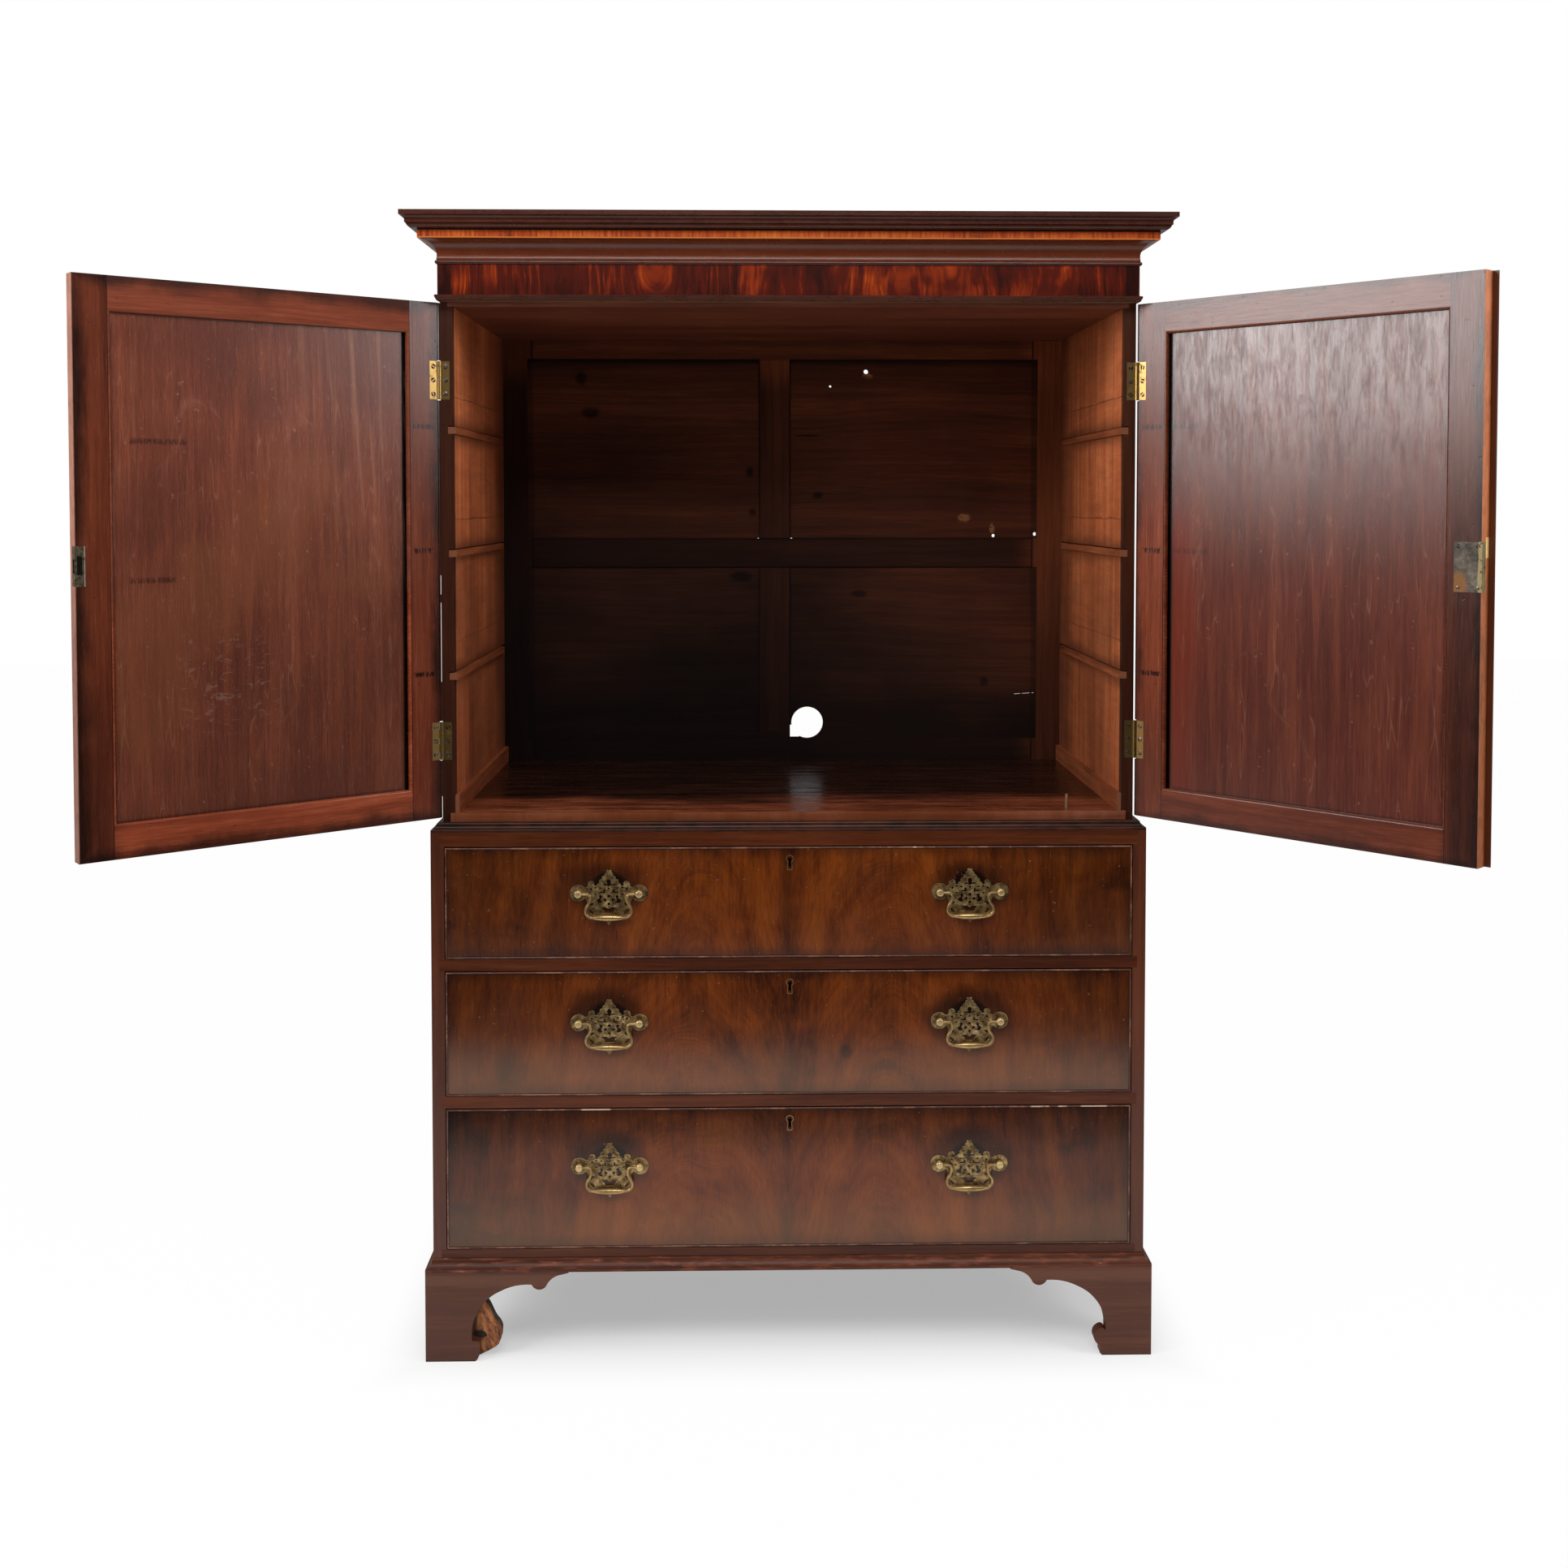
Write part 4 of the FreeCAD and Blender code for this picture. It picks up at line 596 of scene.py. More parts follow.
def door_panel_finish(side):
    """The panel: plain and scuffed inside, flame veneer outside."""
    finish = Finish(side + "_door_panel")
    u, deep, z = door_place(finish, side)
    inner, fine = timber(finish, z, u, deep, side + "_panel", 1, 0.85)
    strokes = finish.noise(u * 760, z * 40, 6, 3, 0.75)
    wisps = finish.noise(u * 170, z * 14, 2, 5, 0.8, 0.4)
    inner = inner.shade((0.58 + strokes * 0.84) * (0.82 + wisps * 0.36))
    fibre = finish.noise(u * 300, z * 7, 9, 2, 0.7)
    band = finish.noise(u * 46, z * 3.2, 5, 4, 0.7, 0.3)
    inner = inner.shade((0.5 + fibre * 0.94) * (0.72 + band * 0.5))
    inner = inner.mix(band.ease(0.48, 0.68) * 0.38, (0.185, 0.042, 0.014))
    thread = finish.noise(u * 26, z * 2.2, 14, 2, 0.6)
    line = abs(thread - 0.5).ease(0.0075, 0.002) * band.ease(0.42, 0.55)
    inner = inner.mix(line * 0.24, (0.3, 0.135, 0.085))
    if side == "right":
        red = (u + (band - 0.5) * 0.1).ease(0.135, 0.075) * z.ease(1.52, 1.38)
        inner = inner.mix(red * 0.5, (0.185, 0.02, 0.005))
    scars = finish.noise(u * 12, z * 7, 4, 5, 0.75, 1.5)
    blot = finish.noise(u * 4, z * 3, 8, 3)
    inner = inner.shade(0.7 + blot * 0.6)
    inner = inner.mix(scars.ease(0.62, 0.74) * 0.25, (0.26, 0.105, 0.065))
    if side == "left":
        scuffs = finish.noise(u * 45, z * 90, 3, 5, 0.75, 1)
        reach = oval(u, z, (0.36, 1.17), (0.11, 0.1))
        inner = inner.mix(scuffs.ease(0.54, 0.64) * reach.ease(1.1, 0.5) * 0.22, (0.36, 0.24, 0.2))
        dull = finish.noise(u * 9, z * 5, 12, 4, 0.6)
        inner = inner.shade(0.78 + dull * 0.44)
        patch = finish.noise(u * 3.4, z * 2.6, 21, 3, 0.55)
        inner = inner.mix(patch.ease(0.5, 0.64) * 0.5, (0.066, 0.0155, 0.009))
        inner = inner.mix(patch.ease(0.48, 0.36) * 0.35, (0.185, 0.056, 0.021))
    nick = dents(finish, u, deep, z, 90) * scars.ease(0.46, 0.6)
    inner = inner.mix(nick * 0.3, (0.34, 0.17, 0.12))
    # lighter towards the top of the panel
    upward_lift = 0.86 + (0.42 * z.ease(1.15, 1.62) if side == "left" else 0.14 * z.ease(1.1, 1.4))
    inner = inner.shade(upward_lift)
    first, second = PANEL_MARKS[side]
    upper_mark = scrape(finish, u, deep, z, *first, 1)
    lower_mark = scrape(finish, u, deep, z, *second, 2)
    marks = upper_mark.most(lower_mark) * 0.75 if side == "left" else upper_mark.most(lower_mark * 0.4)
    inner = inner.shade(1 - marks * 0.75)
    # painted shade in the gap beside the hinge stile
    inner = inner.shade(1 - 0.95 * u.ease(0.063, 0.0618))
    # painted shade and dirt along the panel's edges beside the frame
    margin = (0.5285 - u).least(u - 0.0655).least(z - 0.9655).least(1.7225 - z)
    inner = inner.shade(0.45 + 0.55 * (margin + (strokes - 0.5) * 0.004).ease(-0.001, 0.006))
    if side == "left":
        slant = u + (z - 1.5) * -0.06
        tan = finish.noise(slant * 75, z * 2, 3, 3, 0.6)
        lit = tan.ease(0.5, 0.66) * z.ease(1.28, 1.55) * u.ease(0.3, 0.16)
        inner = inner.mix(lit * 0.7, (0.24, 0.09, 0.048))
    bend = ((u - 0.293) ** 2 + ((z - 0.95) / 3.2) ** 2) ** 0.5
    sway = finish.noise(u * 7, z * 4, 2, 2) - 0.5
    flame = finish.noise((bend + sway * 0.1) * 42, z * 3, u * 3, 5, 0.6)
    mottle = finish.noise(u * 330, z * 42, 7, 2, 0.6)
    flame = flame * 0.72 + mottle * 0.28
    outer = finish.ramp(flame, (0.32, (0.035, 0.007, 0.001)), (0.5, (0.105, 0.022, 0.003)),
                        (0.68, (0.2, 0.052, 0.008)))
    colour = outer.mix(deep > -0.013, inner)
    haze = finish.noise(u * 9, z * 6, 5, 3, 0.6)
    wipes = finish.noise(u * 80, z * 15, 11, 5, 0.8, 0.5)
    gloss = 0.2 + 0.8 * (wipes * 0.5 + wisps * 0.2 + strokes * 0.15 + haze * 0.15).ease(0.38, 0.6)
    if side == "right":
        upper = (z + haze * 0.1).ease(1.33, 1.6)
        rubbed = (1 - gloss) * upper
        gloss = gloss * (0.1 + 0.9 * upper) * (1 - 0.35 * u.ease(0.14, 0.42))
        rough = 0.17 + strokes * 0.12 + rubbed * 0.2
    else:
        rough = 0.2 + strokes * 0.12
    return finish.polish(colour, rough, strokes + wisps, 0.00012, SHEEN[side],
                         Coat_Weight=gloss * COAT[side], Coat_Roughness=0.23)


def cupboard_side_finish():
    """Polished outside and dark front edge; inside, bare orange wood rubbed by the trays."""
    finish, x, y, z = begin("cupboard_sides")
    outer, fine = timber(finish, z, y, x, "case")
    inner = timber(finish, z, y * 0.8, x, "bare_side", 1.6, 1.1)[0]
    rub = finish.noise(x, y * 9, z * 60, 4, 0.7)
    ray = finish.noise(x, y * 46, z * 3, 3, 0.6)
    inner = inner.shade((0.5 + rub * 0.9) * (0.66 + ray * 0.8) * (1 + 0.34 * z.ease(1.1, 1.55)))
    # painted shade deepening towards the back of the cupboard, darker bands round each runner, tray
    # scratches and a rubbed arc
    darkening = y.ease(0.1, 0.28) * 0.5
    for height in TRAY_HEIGHTS:
        darkening = darkening.most(abs(z - height + 0.004).ease(0.034, 0.003) * 0.55)
        scratch = (z + (rub - 0.5) * 0.012).band(height + 0.052, 0.0006, 0.0012)
        darkening = darkening.most(scratch * 0.45)
    swept = ((z - 1.06) ** 2 + (y + 0.33) ** 2) ** 0.5
    darkening = darkening.most((swept + (rub - 0.5) * 0.05).ease(0.17, 0.2) * swept.ease(0.4, 0.3) * 0.22)
    inner = inner.shade(1 - darkening)
    face = (abs(x) < 0.5625) * (y > -0.2765)
    lip = y.ease(-0.258, -0.264)
    inner = inner.shade(1 - lip * 0.86)
    colour = finish.mix(face, outer.shade(1 - 0.5 * y.band(-0.277, 0.001, 0.0005)), inner)
    return finish.polish(colour, 0.3 + face * 0.3, fine, 0.0003)


def drawer_box_finish(drawer):
    """Bare oak, dry and dusty, darker along the top edges and rubbed pale where it runs."""
    low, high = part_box(drawer + "_box")
    finish, x, y, z = begin(drawer + "_oak")
    sides = abs(x) > high.x - 0.013
    along = x + (y - x) * sides
    across = y + (z - y) * sides
    colour, fine = timber(finish, along, across, x + y, "drawer_oak", 1.2, 1.1)
    flecks = finish.noise(along * 60, across * 420, 3, 2, 0.6)
    dust = finish.noise(x * 5, y * 5, z * 9, 4, 0.65)
    colour = colour.shade((0.6 + flecks * 0.8) * (0.66 + dust * 0.68))
    colour = colour.shade(1 - 0.5 * (z + dust * 0.006).ease(high.z - 0.009, high.z))
    rubbed = (z + dust * 0.008).ease(low.z + 0.014, low.z + 0.004) * 0.5 * sides
    colour = colour.mix(rubbed, (0.34, 0.2, 0.1))
    return finish.polish(colour, 0.56 + flecks * 0.1, fine + flecks, 0.0002, Specular_IOR_Level=0.3)


def tray_runner_finish():
    """Strips of the same bare orange wood, duller on their front ends."""
    finish, x, y, z = begin("tray_strips")
    colour, fine = timber(finish, y, z, x, "tray_strip", 1, 1.1)
    wear = finish.noise(x * 40, y * 12, z * 80, 3)
    colour = colour.shade(0.55 + wear * 0.9)
    colour = colour.mix(y < -0.2764, (0.15, 0.046, 0.017))
    return finish.polish(colour, 0.6, fine, 0.0003, Specular_IOR_Level=0.25)


def torn(finish, u, v, seed, middle, size, colour):
    """Raw pale fibres where a nail has been pulled out."""
    fibres = finish.noise(u * 60, v * 130, seed, 3, 0.7)
    away = oval(u, v, middle, size) + (fibres - 0.5) * 1.6
    return colour.mix(away.ease(1, 0.6) * fibres.ease(0.36, 0.56), (0.22, 0.092, 0.034))


def bare_back(finish, along, across, deep):
    """The unpolished side that faces the wall: dry, brown with age, dusty."""
    colour = timber(finish, along, across, deep, "wall_side", 1.4, 1.2)[0]
    dust = finish.noise(along * 5, across * 7, deep * 5, 4, 0.65)
    colour = colour.shade(0.65 + dust * 0.7)
    return colour.mix(dust.ease(0.48, 0.72) * 0.35, (0.2, 0.125, 0.082))


def back_board_finish():
    """Stained softwood panels: knots, nail holes and a split that let light through, darker towards the
    foot, with painted light on the upper right, painted shade along the framing and a painted shadow
    under the top rail.
    """
    finish, x, y, z = begin("back_boards")
    colour, fine = timber(finish, x, z, y, "back_board", 1.6)
    for number, (middle, size) in enumerate(KNOTS):
        colour = colour.shade(0.3 + 0.7 * spot(finish, x, z, number, middle, size))
    for number, (middle, size) in enumerate(TORN):
        colour = torn(finish, x, z, number, middle, size, colour)
    blotches = finish.noise(x * 2.4, z * 3, 5, 3)
    # darker towards the bottom of the back
    fade = (z + (blotches - 0.5) * 0.6 + x * 0.18).ease(0.98, 1.62)
    # painted light: the upper right of the back is lighter
    tone = 0.11 + fade * 1.2 + x.ease(0.36, 0.52) * 0.3 * z.ease(1.1, 1.5)
    # painted shade where the panels meet the framing
    edge = (TOP_RAIL - z).least(abs(z - MIDDLE_RAIL) - RAIL_HALF)
    edge = edge.least(abs(x - MUNTIN) - MUNTIN_HALF).least(STILE_EDGE - abs(x))
    tone = tone * (0.62 + 0.38 * (edge + (blotches - 0.5) * 0.008).ease(0, 0.004))
    # painted shadow under the top rail
    tone = tone * (0.35 + 0.65 * (z + (blotches - 0.5) * 0.01).ease(1.728, 1.712))
    colour = finish.mix(y > WALL_SIDE, colour.shade(tone), bare_back(finish, x, z, y))
    dashes = finish.noise(x * 210, 0.5, 0.5, 1)
    lean = (x - 0.49) * 0.06
    split = x.band(0.4903, 0.02, 0.001) * (abs(z - 1.0556 - lean) < 0.0007) * (dashes > 0.44)
    clear = 1 - split
    for hole_x, hole_z, radius in HOLES:
        clear = clear * (((x - hole_x) ** 2 + (z - hole_z) ** 2) ** 0.5 > radius)
    return finish.polish(colour, 0.62, fine, 0.0004, Alpha=clear, Specular_IOR_Level=0.15)


def back_frame_finish():
    """Framing of the back: upright stiles and muntins, level rails, all stained dark."""
    finish, x, y, z = begin("back_framing")
    between = (abs(z - MIDDLE_RAIL) > RAIL_HALF) * (z > FOOT_RAIL) * (z < TOP_RAIL)
    muntin = (abs(x - MUNTIN) < MUNTIN_HALF + 0.0002) * between
    upright = (abs(x) > STILE_EDGE).most(muntin)
    along, across = x + (z - x) * upright, z + (x - z) * upright
    colour, fine = timber(finish, along, across, y, "back_frame", 1.5)
    fade = (z + x * 0.3).ease(0.95, 1.6)
    # painted light: the framing's right side is lighter, more so higher up; lighter too higher up and at
    # the top rail
    side = x.ease(0.46, 0.53)
    tone = 0.1 + fade * 0.42 + side * (0.5 + 1 * z.ease(1.1, 1.5)) + z.ease(1.66, 1.73) * 0.8
    rail = (abs(z - MIDDLE_RAIL) < RAIL_HALF) * (abs(x) < STILE_EDGE)
    tone = tone * (1 + 0.5 * muntin) * (1 - 0.06 * rail)
    seam = abs(z - MIDDLE_RAIL).band(RAIL_HALF, 0.0008, 0.0012) * (abs(x) < STILE_EDGE)
    seam = seam.most(abs(x - MUNTIN).band(MUNTIN_HALF, 0.0008, 0.0012) * between)
    seam = seam.most(abs(x).band(STILE_EDGE, 0.0008, 0.0012))
    colour = finish.mix(y > WALL_SIDE, colour.shade(tone), bare_back(finish, along, across, y))
    return finish.polish(colour.shade(1 - seam * 0.9), 0.6, fine, 0.0004, Specular_IOR_Level=0.15)


def softwood_finish():
    """Old softwood of the back boards, dust boards, cornice frame and glue blocks."""
    finish, x, y, z = begin("softwood")
    low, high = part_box("lower_back_boards")
    first, second = low.z + (high.z - low.z) / 3, high.z - (high.z - low.z) / 3
    board = (z > first) * 0.37 + (z > second) * 0.23
    colour, fine = timber(finish, x + board, z, y, "softwood", 1.8, 1.3)
    dirt = finish.noise(x * 2 + board * 9, y * 2, z * 6, 4, 0.65)
    colour = colour.shade(0.55 + dirt * 0.85)
    knots = finish.noise(x * 9 + board * 5, y * 9, z * 26, 0)
    colour = colour.shade(1 - 0.75 * knots.ease(0.8, 0.83))
    seams = z.band(first, 0.0004, 0.0012).most(z.band(second, 0.0004, 0.0012)) * (y > 0.28)
    colour = colour.shade(1 - 0.85 * seams)
    return finish.polish(colour, 0.62 + dirt * 0.15, fine, 0.0004, Specular_IOR_Level=0.3)


def cupboard_board_finish():
    """Floor and top of the cupboard: floor worn bright at the front and black towards the back."""
    finish, x, y, z = begin("cupboard_boards")
    colour, fine = timber(finish, x, y, z, "cupboard_board", 1.2, 1.2)
    splotch = finish.noise(x * 3.2, y * 7, 2, 4, 0.65)
    scuff = finish.noise(x * 9, y * 55, 4, 4, 0.7)
    streaks = scuff.ease(0.34, 0.66)
    floor = z < 1.2
    colour = colour.shade(1 + floor * (streaks * 0.8 - 0.3))
    colour = colour.mix(scuff.ease(0.56, 0.7) * floor * 0.5, (0.29, 0.12, 0.063))
    # black towards the back of the floor
    black = (y + (splotch - 0.5) * 0.34 + (scuff - 0.5) * 0.08).ease(-0.2, -0.08) * floor
    colour = colour.shade(1 - black * 0.88)
    lip = (y < -0.266) * floor
    colour = colour.mix(lip * 0.5, (0.16, 0.045, 0.016))
    rough = 0.48 - floor * (0.43 - splotch * 0.1 - streaks * 0.3)
    return finish.polish(colour, rough, fine + splotch * floor, 0.0002)


def plain_metal(name, tone, tarnish, amount, rough):
    """Old brass or steel, with dark tarnish over a share of it."""
    finish = Finish(name)
    here = finish.place()
    spots = finish.cloud(here, 170, 3, 0.6)
    cloudy = finish.cloud(here, 42, 2)
    old = (spots * 0.5 + cloudy * 0.5).ease(0.62 - amount * 0.34, 0.84 - amount * 0.34)
    colour = finish.mix(old, tone, tarnish)
    return finish.polish(colour, rough + old * 0.28, spots, 0.0001, 0.5, Metallic=1)


def lock_plate_finish():
    """The door lock's plate: dull brass, rusty in a low corner, rubbed along the meeting edge."""
    finish = Finish("door_lock_plate")
    u, deep, z = door_place(finish, "right")
    spots = finish.noise(u * 140, deep * 140, z * 140, 4, 0.7)
    stain = finish.noise(u * 40, deep * 40, z * 26, 2)
    colour = finish.ramp(spots * 0.5 + stain * 0.5, (0.38, (0.032, 0.027, 0.023)),
                         (0.5, (0.085, 0.07, 0.054)), (0.62, (0.165, 0.136, 0.104)))
    corner = oval(u, z, (0.548, 1.322), (0.02, 0.024)) + (stain - 0.5) * 1.6
    colour = colour.mix(corner.ease(1, 0.4) * 0.7, (0.26, 0.105, 0.026))
    rubbed = (u + (stain - 0.5) * 0.006).ease(0.5768, 0.5778) * spots.ease(0.36, 0.46)
    colour = colour.mix(rubbed * 0.8, (0.34, 0.26, 0.12))
    return finish.polish(colour, 0.34 + spots * 0.25, spots, 0.0002, Metallic=0.7)


def keep_finish():
    """The keep on the left door's edge: dark brass, a slot painted black as shade, and a bright turned
    lip.
    """
    finish = Finish("door_keep")
    u, deep, z = door_place(finish, "left")
    spots = finish.noise(u * 160, deep * 160, z * 160, 3, 0.7)
    colour = finish.ramp(spots, (0.38, (0.05, 0.036, 0.022)), (0.62, (0.15, 0.115, 0.065)))
    # painted shade: the keep's slot is painted black
    slot = z.band(1.35, 0.0135, 0.0008) * u.band(0.5765, 0.0034, 0.0006) * (deep > -0.002)
    lip = u.ease(0.5706, 0.5696) * spots.ease(0.3, 0.5)
    colour = finish.mix(lip, colour.shade(1 - slot * 0.95), (0.46, 0.4, 0.36))
    return finish.polish(colour, 0.3 + spots * 0.25 + slot * 0.4, spots - slot * 3, 0.0002, Metallic=0.7)


def lock_finish():
    """Iron lock cases, and the thin brass thread let in round each keyhole."""
    finish = Finish("drawer_locks")
    here = finish.place()
    y = finish.parts(here)[1]
    rust = finish.cloud(here, 150, 4, 0.65)
    brass = y < -0.2955
    iron = finish.ramp(rust, (0.35, (0.018, 0.014, 0.012)), (0.65, (0.06, 0.036, 0.024)))
    colour = finish.mix(brass, iron, finish.mix(rust, (0.4, 0.27, 0.13), (0.2, 0.12, 0.05)))
    return finish.polish(colour, 0.55 - brass * 0.2, rust, 0.0001, Metallic=0.8)


def plate_brass():
    """Cast brass of the back plates: dull faces, rims rubbed bright, black in the piercings."""
    finish = Finish("plate_brass")
    here = finish.place()
    y = finish.parts(here)[1]
    spots = finish.cloud(here, 400, 3, 0.6)
    cloudy = finish.cloud(here, 90, 2)
    face = finish.ramp(spots * 0.4 + cloudy * 0.6, (0.38, (0.09, 0.05, 0.02)),
                       (0.52, (0.29, 0.185, 0.075)), (0.64, (0.56, 0.39, 0.17)))
    rim = y.ease(-0.30158, -0.30152) * y.ease(-0.30075, -0.30085)
    proud = y.ease(-0.3022, -0.303)
    colour = face.mix(rim, (0.95, 0.72, 0.4))
    colour = colour.mix(proud, (0.7, 0.5, 0.24))
    colour = colour.shade(1 - 0.85 * y.ease(-0.30085, -0.3007))
    return finish.polish(colour, 0.28 + spots * 0.16, spots, 0.0001, 0.5, Metallic=0.78)


def bail_brass():
    """Cast brass of the bails: rubbed bright in front, where a hand takes it, and dark behind."""
    low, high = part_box("middle_drawer_left_bail")
    finish = Finish("bail_brass")
    here = finish.place()
    y = finish.parts(here)[1]
    spots = finish.cloud(here, 400, 3, 0.6)
    cloudy = finish.cloud(here, 60, 2)
    dirt = (spots * 0.35 + cloudy * 0.65).ease(0.4, 0.66)
    rubbed = y.ease(low.y + (high.y - low.y) * 0.62, low.y + (high.y - low.y) * 0.12)
    old = dirt * 0.5 + (1 - rubbed) * 0.34
    colour = finish.mix(old, (0.56, 0.37, 0.155), (0.105, 0.062, 0.026))
    return finish.polish(colour, 0.26 + old * 0.3, spots, 0.0001, 0.4, Metallic=0.85)


# ---------------------------------------------------------------- small fittings

def shape(name, make, **settings):
    """A new piece from one of the primitive operators, with its place and size applied."""
    bpy.ops.object.select_all(action="DESELECT")
    make(**settings)
    piece = bpy.context.object
    piece.name = name
    bpy.ops.object.transform_apply(location=True, rotation=True, scale=True)
    return piece


def edit(piece):
    """Opens one piece alone in edit mode, with face selection."""
    bpy.ops.object.select_all(action="DESELECT")
    piece.select_set(True)
    bpy.context.view_layer.objects.active = piece
    bpy.ops.object.mode_set(mode="EDIT")
    bpy.ops.mesh.select_mode(type="FACE")


def pick(piece, test, edges=False):
    """Selects, in edit mode, the faces or edges that pass a test."""
    shape = bmesh.from_edit_mesh(piece.data)
    bpy.ops.mesh.select_mode(type="EDGE" if edges else "FACE")
    bpy.ops.mesh.select_all(action="DESELECT")
    for part in shape.edges if edges else shape.faces:
        if test(part):
            part.select_set(True)
    bmesh.update_edit_mesh(piece.data)


def cut(place, facing):
    """Cuts all of the mesh in edit mode along a plane."""
    bpy.ops.mesh.select_all(action="SELECT")
    bpy.ops.mesh.bisect(plane_co=place, plane_no=facing)


def done(piece, angle=40):
    """Closes edit mode and smooths the shading of a piece."""
    bpy.ops.object.mode_set(mode="OBJECT")
    bpy.ops.object.shade_smooth_by_angle(angle=math.radians(angle))


def screw_head(radius):
    """A countersunk head with a cut slot. Its flat face is at the origin and looks up."""
    deep, slot = radius * 0.45, radius * 0.16
    head = shape("screw_head", bpy.ops.mesh.primitive_cylinder_add, vertices=28, radius=radius,
                 depth=deep, location=(0, 0, -deep / 2))
    edit(head)
    for side in (-slot, slot):
        cut((0, side, 0), (0, 1, 0))
    pick(head, lambda face: face.normal.z > 0.9 and abs(face.calc_center_median().y) < slot)
    bpy.ops.mesh.extrude_region_move(TRANSFORM_OT_translate={"value": (0, 0, -radius * 0.22)})
    pick(head, lambda rim: all(abs(end.co.z) < 1e-6 and end.co.xy.length > radius * 0.98
                               for end in rim.verts), True)
    bpy.ops.mesh.bevel(offset=radius * 0.07, segments=2, affect="EDGES")
    done(head)
    return head


def fit(master, name, place, body, material):
    """Sets a copy of a fitting in place, with its own mesh, on a body."""
    copy = bpy.data.objects.new(name, master.data.copy())
    copy.data.transform(place)
    copy.data.materials.clear()
    copy.data.materials.append(material)
    bpy.context.scene.collection.objects.link(copy)
    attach(copy, body)


def opened(side):
    """The move that takes a point of a closed door to where the open door has it."""
    line = Matrix.Translation(HINGE_LINE[side])
    return line @ Matrix.Rotation(DOOR_OPENED[side], 4, "Z") @ line.inverted()


def set_screws():
    """The screws of the hinges and of the door lock."""
    steel = plain_metal("screw_steel", (0.22, 0.19, 0.17), (0.035, 0.028, 0.024), 0.75, 0.3)
    front, behind = Matrix.Rotation(math.pi / 2, 4, "X"), Matrix.Rotation(-math.pi / 2, 4, "X")
    head = screw_head(0.0042)
    turn = 0
    for side, sign in (("left", -1), ("right", 1)):
        for foot in HINGE_FEET:
            for number, up in enumerate(SCREW_RISES):
                turn += 1.9
                spin = Matrix.Rotation(turn, 4, "Z")
                name = "%s_hinge_%d_screw_%d" % (side, 1 + HINGE_FEET.index(foot), number + 1)
                at = Matrix.Translation((sign * SCREW_LINE, CASE_LEAF, foot + up))
                fit(head, name + "_case", at @ front @ spin, "press", steel)
                at = Matrix.Translation((sign * SCREW_LINE, DOOR_LEAF, foot + up))
                fit(head, name + "_door", opened(side) @ at @ behind @ spin, side + "_door", steel)
    small = screw_head(0.003)
    for number, (x, z) in enumerate(LOCK_SCREWS):
        at, spin = Matrix.Translation((x, LOCK_FACE, z)), Matrix.Rotation(number * 0.8 + 0.5, 4, "Z")
        fit(small, "door_lock_screw_%d" % (number + 1), opened("right") @ at @ behind @ spin,
            "right_door", steel)
    for master in (head, small):
        bpy.data.objects.remove(master)


def set_peg():
    """A short worn peg that stands in the cupboard floor, near its front."""
    peg = shape("floor_peg", bpy.ops.mesh.primitive_cylinder_add, vertices=16, radius=0.0025,
                depth=0.024, location=(*PEG, 0.932))
    edit(peg)
    pick(peg, lambda face: face.normal.z > 0.9)
    bpy.ops.mesh.inset(thickness=0.0007)
    bpy.ops.transform.translate(value=(0.0004, 0.0003, 0.0008))
    pick(peg, lambda face: face.normal.z < -0.9)
    bpy.ops.transform.resize(value=(1.15, 1.15, 1), center_override=(*PEG, 0.92))
    done(peg)
    peg.data.materials.append(straight_wood("peg_wood", "z", "peg", 0.55))
    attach(peg, "press")


def set_broken_spur():
    """The raw core of the spur that has lost its face, behind the left front foot."""
    core = shape("spur_core", bpy.ops.mesh.primitive_circle_add, vertices=len(SPUR), radius=0.03,
                 fill_type="NGON")
    for corner, (x, z) in zip(core.data.vertices, SPUR):
        corner.co = (x, SPUR_FACE, z)
    edit(core)
    bpy.ops.mesh.select_all(action="SELECT")
    bpy.ops.mesh.extrude_region_move(TRANSFORM_OT_translate={"value": (0, 0.02, 0)})
    bpy.ops.mesh.select_all(action="SELECT")
    bpy.ops.mesh.normals_make_consistent(inside=False)
    pick(core, lambda face: face.normal.y < -0.9)
    bpy.ops.mesh.inset(thickness=0.003)
    bpy.ops.transform.translate(value=(0, 0.002, 0))
    bpy.ops.mesh.inset(thickness=0.004)
    bpy.ops.transform.translate(value=(0, -0.0015, 0))
    done(core)
    core.data.materials.append(raw_spur_finish())
    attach(core, "press")


def raw_spur_finish():
    """Orange torn wood in front, with a black hollow low down, and old dark wood round the sawn edge."""
    finish, x, y, z = begin("raw_spur")
    fibres = finish.noise(x * 90 + z * 30, y * 60, z * 26, 4, 0.65)
    pits = finish.noise(x * 150, y * 150, z * 150, 3, 0.6)
    edge = finish.ramp(pits, (0.35, (0.03, 0.018, 0.011)), (0.65, (0.11, 0.072, 0.048)))
    raw = finish.ramp(fibres, (0.36, (0.05, 0.018, 0.008)), (0.5, (0.26, 0.08, 0.022)),
                      (0.62, (0.48, 0.19, 0.065)))
    raw = raw.shade(1 - 0.55 * pits.ease(0.54, 0.66))
    hollow = oval(x, z, (-0.5245, 0.0375), (0.012, 0.0075)) + (pits - 0.5) * 0.8
    deep = hollow.ease(1.15, 0.75)
    raw = raw.shade(1 - 0.92 * deep)
    raw = raw.shade(1 - 0.6 * (x - z * 0.22).ease(-0.5385, -0.5445))
    colour = finish.mix(y < SPUR_FACE + 0.0032, edge, raw)
    return finish.polish(colour, 0.72, fibres - deep * 2, 0.002)


